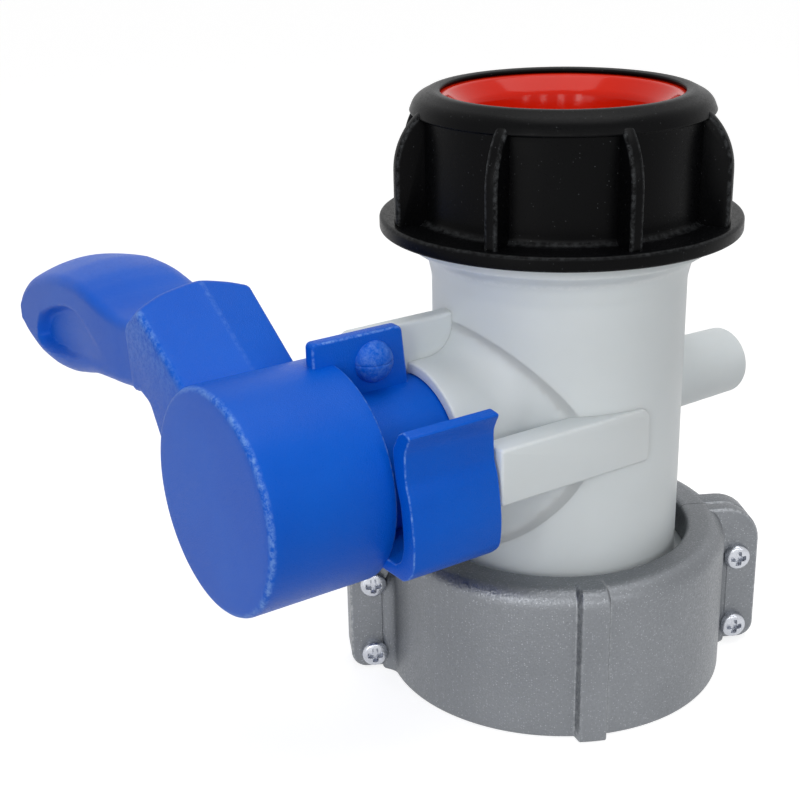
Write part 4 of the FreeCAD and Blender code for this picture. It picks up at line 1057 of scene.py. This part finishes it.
@dataclass
class Cap:
    """Black ring nut with eight grip ribs, and the red dish that it presses on the spigot."""

    flange_r: float = 42.07
    bottom: float = 112.9
    flange_top: float = 116.2
    skirt_r: float = 33.5
    bore_r: float = 30.3
    lip_bottom: float = 143.5
    opening_r: float = 27.7
    crest_r: float = 29.8
    crest_z: float = 144.7            # the roll dips between this and the solid's crest
    dome_r: float = 34.9
    dome_edge: float = 139.6
    rib_r: float = 40.2
    rib_thick: float = 3.0
    rib_bend: float = 128.6
    rib_sweep: float = 54.0
    rib_start: float = -151.5
    ribs: int = 8
    thread_height: float = 2.4
    pitch: float = 6.0
    floor: float = 126.2

    def ring(self, shell: Shell) -> None:
        """Closed profile turned about the flow axis, with the thread inside.

        Args:
            shell: Shell to add to.
        """
        corners = [(self.bore_r, self.bottom), (self.flange_r, self.bottom), (self.flange_r, self.flange_top),
                   (self.skirt_r, self.flange_top), (self.skirt_r, self.dome_edge), (self.dome_r, self.dome_edge),
                   (self.dome_r - 1.2, self.dome_edge + 3.1), (self.crest_r, self.crest_z),
                   (self.opening_r, self.crest_z - 0.4), (self.opening_r, self.lip_bottom),
                   (self.bore_r, self.lip_bottom), (self.bore_r, self.bottom)]
        profile = rounded(corners, [0, 0.6, 0.8, 1.6, 0.4, 0.4, 5.0, 4.0, 0.5, 0.3, 0.2, 0], steps=6, closed=False)
        profile = densified(profile, 1.0)
        angles = circle_part(0, 360, 241)[:-1]
        radius, z = profile[:, :1], profile[:, 1:2]
        inside = (radius < self.bore_r + 0.1) & (z < self.lip_bottom - 0.5)
        ramp = smoothstep(z, self.bottom + 1.0, self.bottom + 3.0) * (1 - smoothstep(z, 137.0, 139.0))
        cut = self.thread_height * thread(z, angles, self.pitch, 0.5) * ramp * inside
        direction = np.stack([np.cos(angles), np.sin(angles), 0 * angles], axis=-1)
        points = about_flow(profile, angles) - cut[..., None] * direction
        worn = profile[:, 2:3] * (radius > self.skirt_r + 0.2) * (z < self.flange_top + 1) * 0.5
        shell.grid(points, worn, wrap=True)

    def rib(self, shell: Shell, azimuth: float) -> None:
        """One grip rib: straight from the flange, then curving in to the dome, with rounded edges.

        Args:
            shell: Shell to add to.
            azimuth: Its direction in degrees.
        """
        proud = self.rib_r - self.skirt_r
        curve = proud / (1 - math.cos(math.radians(self.rib_sweep)))
        sweep = circle_part(0, self.rib_sweep, 14)
        arc = np.column_stack([self.rib_r - curve + curve * np.cos(sweep), self.rib_bend + curve * np.sin(sweep)])
        foot = rounded([(self.skirt_r - 2.5, 127.0), (self.skirt_r - 2.5, self.flange_top - 1.5),
                        (self.rib_r, self.flange_top - 1.5), (self.rib_r, 124.0)], [0, 1.5, 1.5, 0], closed=False)
        tip = rounded([arc[-1], (self.skirt_r - 2.5, arc[-1, 1] + 0.6), (self.skirt_r - 2.5, 134.0)], [0, 1.5, 0],
                      closed=False)
        outline = resample(np.vstack([foot[:, :2], arc[:-1], tip[:, :2]]), 90)
        turn = math.radians(azimuth)

        def place(r: Array, z: Array, height: Array) -> Array:
            """Points of the rib at its azimuth."""
            return np.stack([r * math.cos(turn) - height * math.sin(turn),
                             r * math.sin(turn) + height * math.cos(turn), z], axis=-1)
        half = self.rib_thick / 2
        shell.plate(outline, -half, half, 0.9, place, steps=4, worn=1.0)

    def build(self) -> list[bpy.types.Object]:
        """Make both mouldings.

        Returns:
            The new pieces.
        """
        shell = Shell()
        self.ring(shell)
        for number in range(self.ribs):
            self.rib(shell, self.rib_start + 360 / self.ribs * number)
        nut = shell.piece("cap_ring_moulding", "cap_nut", "pp_black", Paint.BLACK.material, ["cap_ring"])
        return [nut, self.dish()]

    def dish(self) -> bpy.types.Object:
        """Red dish: closed profile turned about the flow axis.

        Returns:
            The new piece.
        """
        shell = Shell()
        corners = [(0, self.floor), (21.5, self.floor), (23.6, self.floor + 7), (24.0, 141.0), (30.0, 141.0),
                   (30.0, 143.2), (26.4, 143.2), (22.4, 139.6), (20.6, self.floor + 1.8), (0, self.floor + 1.8)]
        profile = rounded(corners, [0, 3.5, 3.0, 0.3, 0.2, 0.3, 2.2, 3.0, 3.0, 0], steps=8, closed=False)
        profile = densified(profile, 1.5)
        shell.grid(about_flow(profile, circle_part(0, 360, 193)[:-1]), wrap=True)
        return shell.piece("cap_insert_moulding", "cap_plug", "pp_red", Paint.RED.material, ["cap_insert"],
                           crease=50.0)

    def dress(self) -> None:
        """Give the seal its finish."""
        dress("cap_gasket", Paint.FOAM)


# ---------------------------------------------------------------- collar


@dataclass
class Collar:
    """Two-piece cast collar: ribbed halves with ears, threaded inside, and its four screws."""

    outside_r: float = 42.2
    bore_r: float = 37.5
    lip_r: float = 32.7
    lip_bottom: float = 29.2
    top: float = 38.0
    shoulder: float = 9.0
    rib_proud: float = 2.6
    rib_thick: float = 7.0
    thread_height: float = 2.4
    thread_length: float = 20.0
    pitch: float = 6.0
    split: float = -27.25
    gap: float = 0.1
    ear_r: float = 52.4
    ear_bottom: float = 0.8
    front: float = 4.3
    rear: float = 6.0
    screw_r: float = 46.7
    screw_heights: tuple = (5.05, 24.6)

    def half(self, side: int) -> Shell:
        """One half: for each angle a closed profile, swollen at the rib and towards the ears.

        Args:
            side: -1 for the screw-head half and +1 for the other.

        Returns:
            The half's shell.
        """
        shell = Shell()
        edge = math.degrees(math.asin(self.gap / self.outside_r))
        ear = self.front if side < 0 else self.rear
        start = edge if side > 0 else 180 + edge
        local = np.concatenate([np.linspace(0, 14, 29), np.linspace(16, 82, 40), np.linspace(83, 97, 57),
                                np.linspace(98, 164, 40), np.linspace(166, 180, 29)])
        local = start + (180 - 2 * edge) * local / 180
        corners = [(self.lip_r, self.lip_bottom), (self.bore_r, self.lip_bottom), (self.bore_r, 0),
                   (self.outside_r, 0), (self.outside_r, self.top - self.shoulder),
                   (self.outside_r - self.shoulder * 0.29, self.top - self.shoulder * 0.29),
                   (self.outside_r - self.shoulder, self.top), (self.lip_r, self.top)]
        base = rounded([corners[i] for i in (0, 1, 2, 3, 4)] + [(self.outside_r, self.top), (self.lip_r, self.top)],
                       [0.5, 0.5, 0.8, 0.9, 0.1, self.shoulder, 1.6], steps=8)
        base = densified(np.vstack([base, base[:1]]), 0.8)[:-1]
        angles = np.radians(local)
        radius, z = base[:, :1], base[:, 1:2]
        from_rib = (local - start - (90 - edge)) * math.pi / 180 * self.outside_r
        bump = 1 - smoothstep(np.abs(from_rib), self.rib_thick / 2 - 0.7, self.rib_thick / 2 + 0.5)
        off_split = np.minimum(local - start, start + 180 - 2 * edge - local) * math.pi / 180 * self.outside_r
        root = 2.6 * (1 - np.clip((off_split - ear) / 4.0, 0, 1)) ** 2.2 * (1 - smoothstep(z, 22, 30))
        skin = (radius > self.bore_r + 1.5) & (z > 0.0) | (z > self.lip_bottom + 1)
        share = smoothstep(radius, self.lip_r + 2.0, self.outside_r - 3.5) * skin
        sideways = smoothstep(radius, self.outside_r - self.shoulder, self.outside_r - 0.5) * skin
        swell = (self.rib_proud * bump * share + root * sideways)
        lift = 0.7 * bump * share * smoothstep(z, self.top - 8, self.top - 1)
        bore = (np.abs(radius - self.bore_r) < 0.2) & (z < self.thread_length + 1)
        ramp = smoothstep(z, 0.8, 2.5) * (1 - smoothstep(z, self.thread_length - 2, self.thread_length))
        cut = self.thread_height * thread(z, angles, self.pitch) * ramp * bore
        grown = radius + swell - cut
        points = np.stack([grown * np.cos(angles), grown * np.sin(angles), z + lift], axis=-1)
        worn = np.maximum(base[:, 2:3] * 0.0 + 0 * angles,
                          np.exp(-((np.abs(from_rib) - self.rib_thick / 2) / 0.6) ** 2) * share * 0.8)
        shell.grid(np.swapaxes(points, 0, 1), np.swapaxes(worn, 0, 1), wrap=True)
        shell.polygon(points[:, 0])
        shell.polygon(points[:, -1])
        for end in (1, -1):
            self.ear(shell, side, end)
        return shell

    def ear(self, shell: Shell, side: int, end: int) -> None:
        """One ear: a rounded plate that stands out beside the split.

        Args:
            shell: Shell to add to.
            side: -1 for the screw-head half and +1 for the other.
            end: +1 for the ear along local +x, and -1 for the opposite one.
        """
        outline = rounded([(40.2, self.ear_bottom), (self.ear_r, self.ear_bottom), (self.ear_r, self.top - 0.15),
                           (33.5, self.top - 0.15), (33.5, 31.5), (40.2, 31.5)], [1.0, 4.0, 10.0, 1.0, 1.0, 0.5], steps=8)
        low, high = (-self.front, -self.gap) if side < 0 else (self.gap, self.rear)

        def place(r: Array, z: Array, height: Array) -> Array:
            """Points of the ear beside the split."""
            return np.stack([end * r, height, z], axis=-1)
        shell.plate(outline, low, high, 0.7, place, steps=3, worn=0.9)

    def screws(self, end: int) -> Shell:
        """The two screws of one ear: rounded heads with a cross recess, and their shanks.

        Args:
            end: +1 or -1, as in ear.

        Returns:
            The screws' shell.
        """
        shell = Shell()
        around = circle_part(0, 360, 97)[:-1]
        radius = np.concatenate([np.linspace(0, 2.6, 22), [2.9, 3.1, 3.22, 3.3, 3.3]])[:, None]
        dome = np.concatenate([2.4 - 0.5 * (np.linspace(0, 2.6, 22) / 2.6) ** 2, [1.75, 1.5, 1.2, 0.9, 0.0]])[:, None]
        u, v = radius * np.cos(around), radius * np.sin(around)
        arm = np.maximum(np.minimum(np.abs(u), np.abs(v)) - 0.42, 0)
        reach = np.maximum(np.abs(u), np.abs(v))
        recess = 1.3 * (1 - smoothstep(arm, 0.0, 0.3)) * (1 - smoothstep(reach, 1.5, 2.0))
        height = np.maximum(dome - recess, 0)
        for at in self.screw_heights:
            points = np.stack([end * self.screw_r + u, -self.front - height, at + v], axis=-1)
            shell.grid(points, 0.3, wrap=True)
            shank = np.array([(0.2, 2.0), (self.front + self.rear - 0.3, 2.0), (self.front + self.rear, 1.6),
                              (self.front + self.rear, 0.0)])
            along, r = shank[:, :1], shank[:, 1:2]
            shell.grid(np.stack([end * self.screw_r + r * np.cos(around), -self.front + along + 0 * around,
                                 at + r * np.sin(around)], axis=-1), wrap=True)
        return shell

    def turned(self, shell: Shell) -> Shell:
        """Turn a shell from the collar's own axes to the real direction of the split.

        Args:
            shell: Shell to turn.

        Returns:
            The same shell.
        """
        turn = math.radians(self.split)
        matrix = np.array([(math.cos(turn), math.sin(turn), 0), (-math.sin(turn), math.cos(turn), 0), (0, 0, 1)])
        shell.points = [points @ matrix for points in shell.points]
        return shell

    def build(self) -> list[bpy.types.Object]:
        """Make both halves and both pairs of screws.

        Returns:
            The new pieces.
        """
        cast, zinc = Paint.CAST.material, Paint.ZINC.material
        return [
            self.turned(self.half(-1)).piece("collar_front_casting", "collar", "aluminium_cast", cast,
                                             ["collar_front_half"]),
            self.turned(self.half(1)).piece("collar_rear_casting", "collar", "aluminium_cast", cast,
                                            ["collar_rear_half"]),
            self.turned(self.screws(1)).piece("collar_screws_right_pair", "collar", "zinc_steel", zinc,
                                              ["collar_screws_right"]),
            self.turned(self.screws(-1)).piece("collar_screws_left_pair", "collar", "zinc_steel", zinc,
                                               ["collar_screws_left"]),
        ]


# ---------------------------------------------------------------- studio


def seen_directly(tree: Tree) -> Any:
    """Socket that is 1 for rays from the camera, from gloss and through clear material.

    Args:
        tree: Tree to add to.

    Returns:
        The socket.
    """
    path = add(tree, "LightPath")
    seen = add(tree, "Math", {0: path.outputs["Is Camera Ray"], 1: path.outputs["Is Glossy Ray"]},
               operation="MAXIMUM").outputs[0]
    return add(tree, "Math", {0: seen, 1: path.outputs["Is Transmission Ray"]}, operation="MAXIMUM").outputs[0]


@dataclass
class Studio:
    """White sweep, soft lights and the camera."""

    eye: tuple[float, float, float] = (-220.1, -259.9, 199.7)
    azimuth: float = -40.25
    yaw: float = 6.42
    down: float = 21.05
    roll: float = -1.19
    lens: float = 66.86

    def camera(self) -> None:
        """Camera at its measured place: it looks along azimuth plus yaw, tipped down, rolled a little."""
        heading = math.radians(self.azimuth + self.yaw)
        tip = math.radians(self.down)
        forward = Vector((-math.sin(heading) * math.cos(tip), math.cos(heading) * math.cos(tip), -math.sin(tip)))
        right = forward.cross(Vector((0, 0, 1))).normalized()
        up = right.cross(forward)
        roll = math.radians(self.roll)
        right, up = right * math.cos(roll) + up * math.sin(roll), up * math.cos(roll) - right * math.sin(roll)
        data = bpy.data.cameras.new("camera")
        data.lens = self.lens
        data.sensor_width = 36.0
        data.clip_start = 0.01
        made = bpy.data.objects.new("camera", data)
        made.matrix_world = Matrix.Translation(Vector(self.eye) * MM) @ Matrix((right, up, -forward)).transposed().to_4x4()
        bpy.context.scene.collection.objects.link(made)
        bpy.context.scene.camera = made

    def area(self, name: str, place: tuple[float, float, float], aim: tuple[float, float, float],
             size: tuple[float, float], power: float, colour: str = "#ffffff") -> None:
        """One soft rectangular lamp.

        Args:
            name: Name of the lamp.
            place: Its place in millimetres.
            aim: What it points at.
            size: Width and height in millimetres.
            power: Watts.
            colour: Its colour.
        """
        data = bpy.data.lights.new(name, "AREA")
        data.shape = "RECTANGLE"
        data.size, data.size_y = size[0] * MM, size[1] * MM
        data.energy = power
        data.color = linear(colour)[:3]
        made = bpy.data.objects.new(name, data)
        direction = Vector(aim) - Vector(place)
        made.matrix_world = (Matrix.Translation(Vector(place) * MM)
                             @ direction.to_track_quat("-Z", "Y").to_matrix().to_4x4())
        bpy.context.scene.collection.objects.link(made)

    def world(self) -> None:
        """Grey light all round, seen as white where it is looked at directly."""
        made = bpy.data.worlds.new("studio")
        made.use_nodes = True
        tree = made.node_tree
        back = tree.nodes["Background"]
        seen = seen_directly(tree)
        level = add(tree, "MapRange", {"Value": seen, "To Min": 0.36, "To Max": 1.0}).outputs["Result"]
        tree.links.new(level, back.inputs["Strength"])
        back.inputs["Color"].default_value = (1, 1, 1, 1)
        bpy.context.scene.world = made

    def floor(self) -> None:
        """White floor under the collar that keeps only a soft shadow."""
        mesh = bpy.data.meshes.new("floor")
        reach = 3.0
        low = -0.0001
        mesh.from_pydata([(-reach, -reach, low), (reach, -reach, low), (reach, reach, low), (-reach, reach, low)], [],
                         [(0, 1, 2, 3)])
        paper = bpy.data.materials.new("white_paper_matt")
        paper.use_nodes = True
        tree = paper.node_tree
        shader = tree.nodes["Principled BSDF"]
        shader.inputs["Base Color"].default_value = linear("#bdbdbd")
        shader.inputs["Roughness"].default_value = 0.9
        lift = add(tree, "MapRange", {"Value": seen_directly(tree), "To Min": 0.0, "To Max": 0.75})
        glow = add(tree, "Emission", {"Color": (1, 1, 1, 1), "Strength": lift.outputs["Result"]})
        both = add(tree, "AddShader", {0: shader.outputs[0], 1: glow.outputs[0]})
        tree.links.new(both.outputs[0], tree.nodes["Material Output"].inputs["Surface"])
        mesh.materials.append(paper)
        made = bpy.data.objects.new("floor", mesh)
        bpy.context.scene.collection.objects.link(made)

    def build(self) -> None:
        """Set up camera, lights, world and floor."""
        self.camera()
        self.world()
        self.floor()
        self.area("overhead", (40, -30, 620), (0, 0, 80), (420, 420), 1.5)
        for number in range(4):
            turn = math.radians(-151.0 + 22.0 * number)
            place = (620 * math.cos(turn), 620 * math.sin(turn), 330.0)
            self.area(f"window_{number}", place, (0, 0, 110), (75, 230), 0.42 - 0.06 * number)
        self.area("front_left", (-560, -230, 200), (0, 0, 70), (260, 300), 0.55)
        view = bpy.context.scene.view_settings
        view.view_transform = "Standard"


def main() -> None:
    """Build the studio, then every sub-assembly in order, and report each piece."""
    logging.basicConfig(level=logging.INFO, format="%(name)s: %(message)s")
    Studio().build()
    for assembly in (ValveBody(), Handle(), Cap(), Collar()):
        assembly.build()
        if hasattr(assembly, "dress"):
            assembly.dress()


if __name__ == "__main__":
    main()
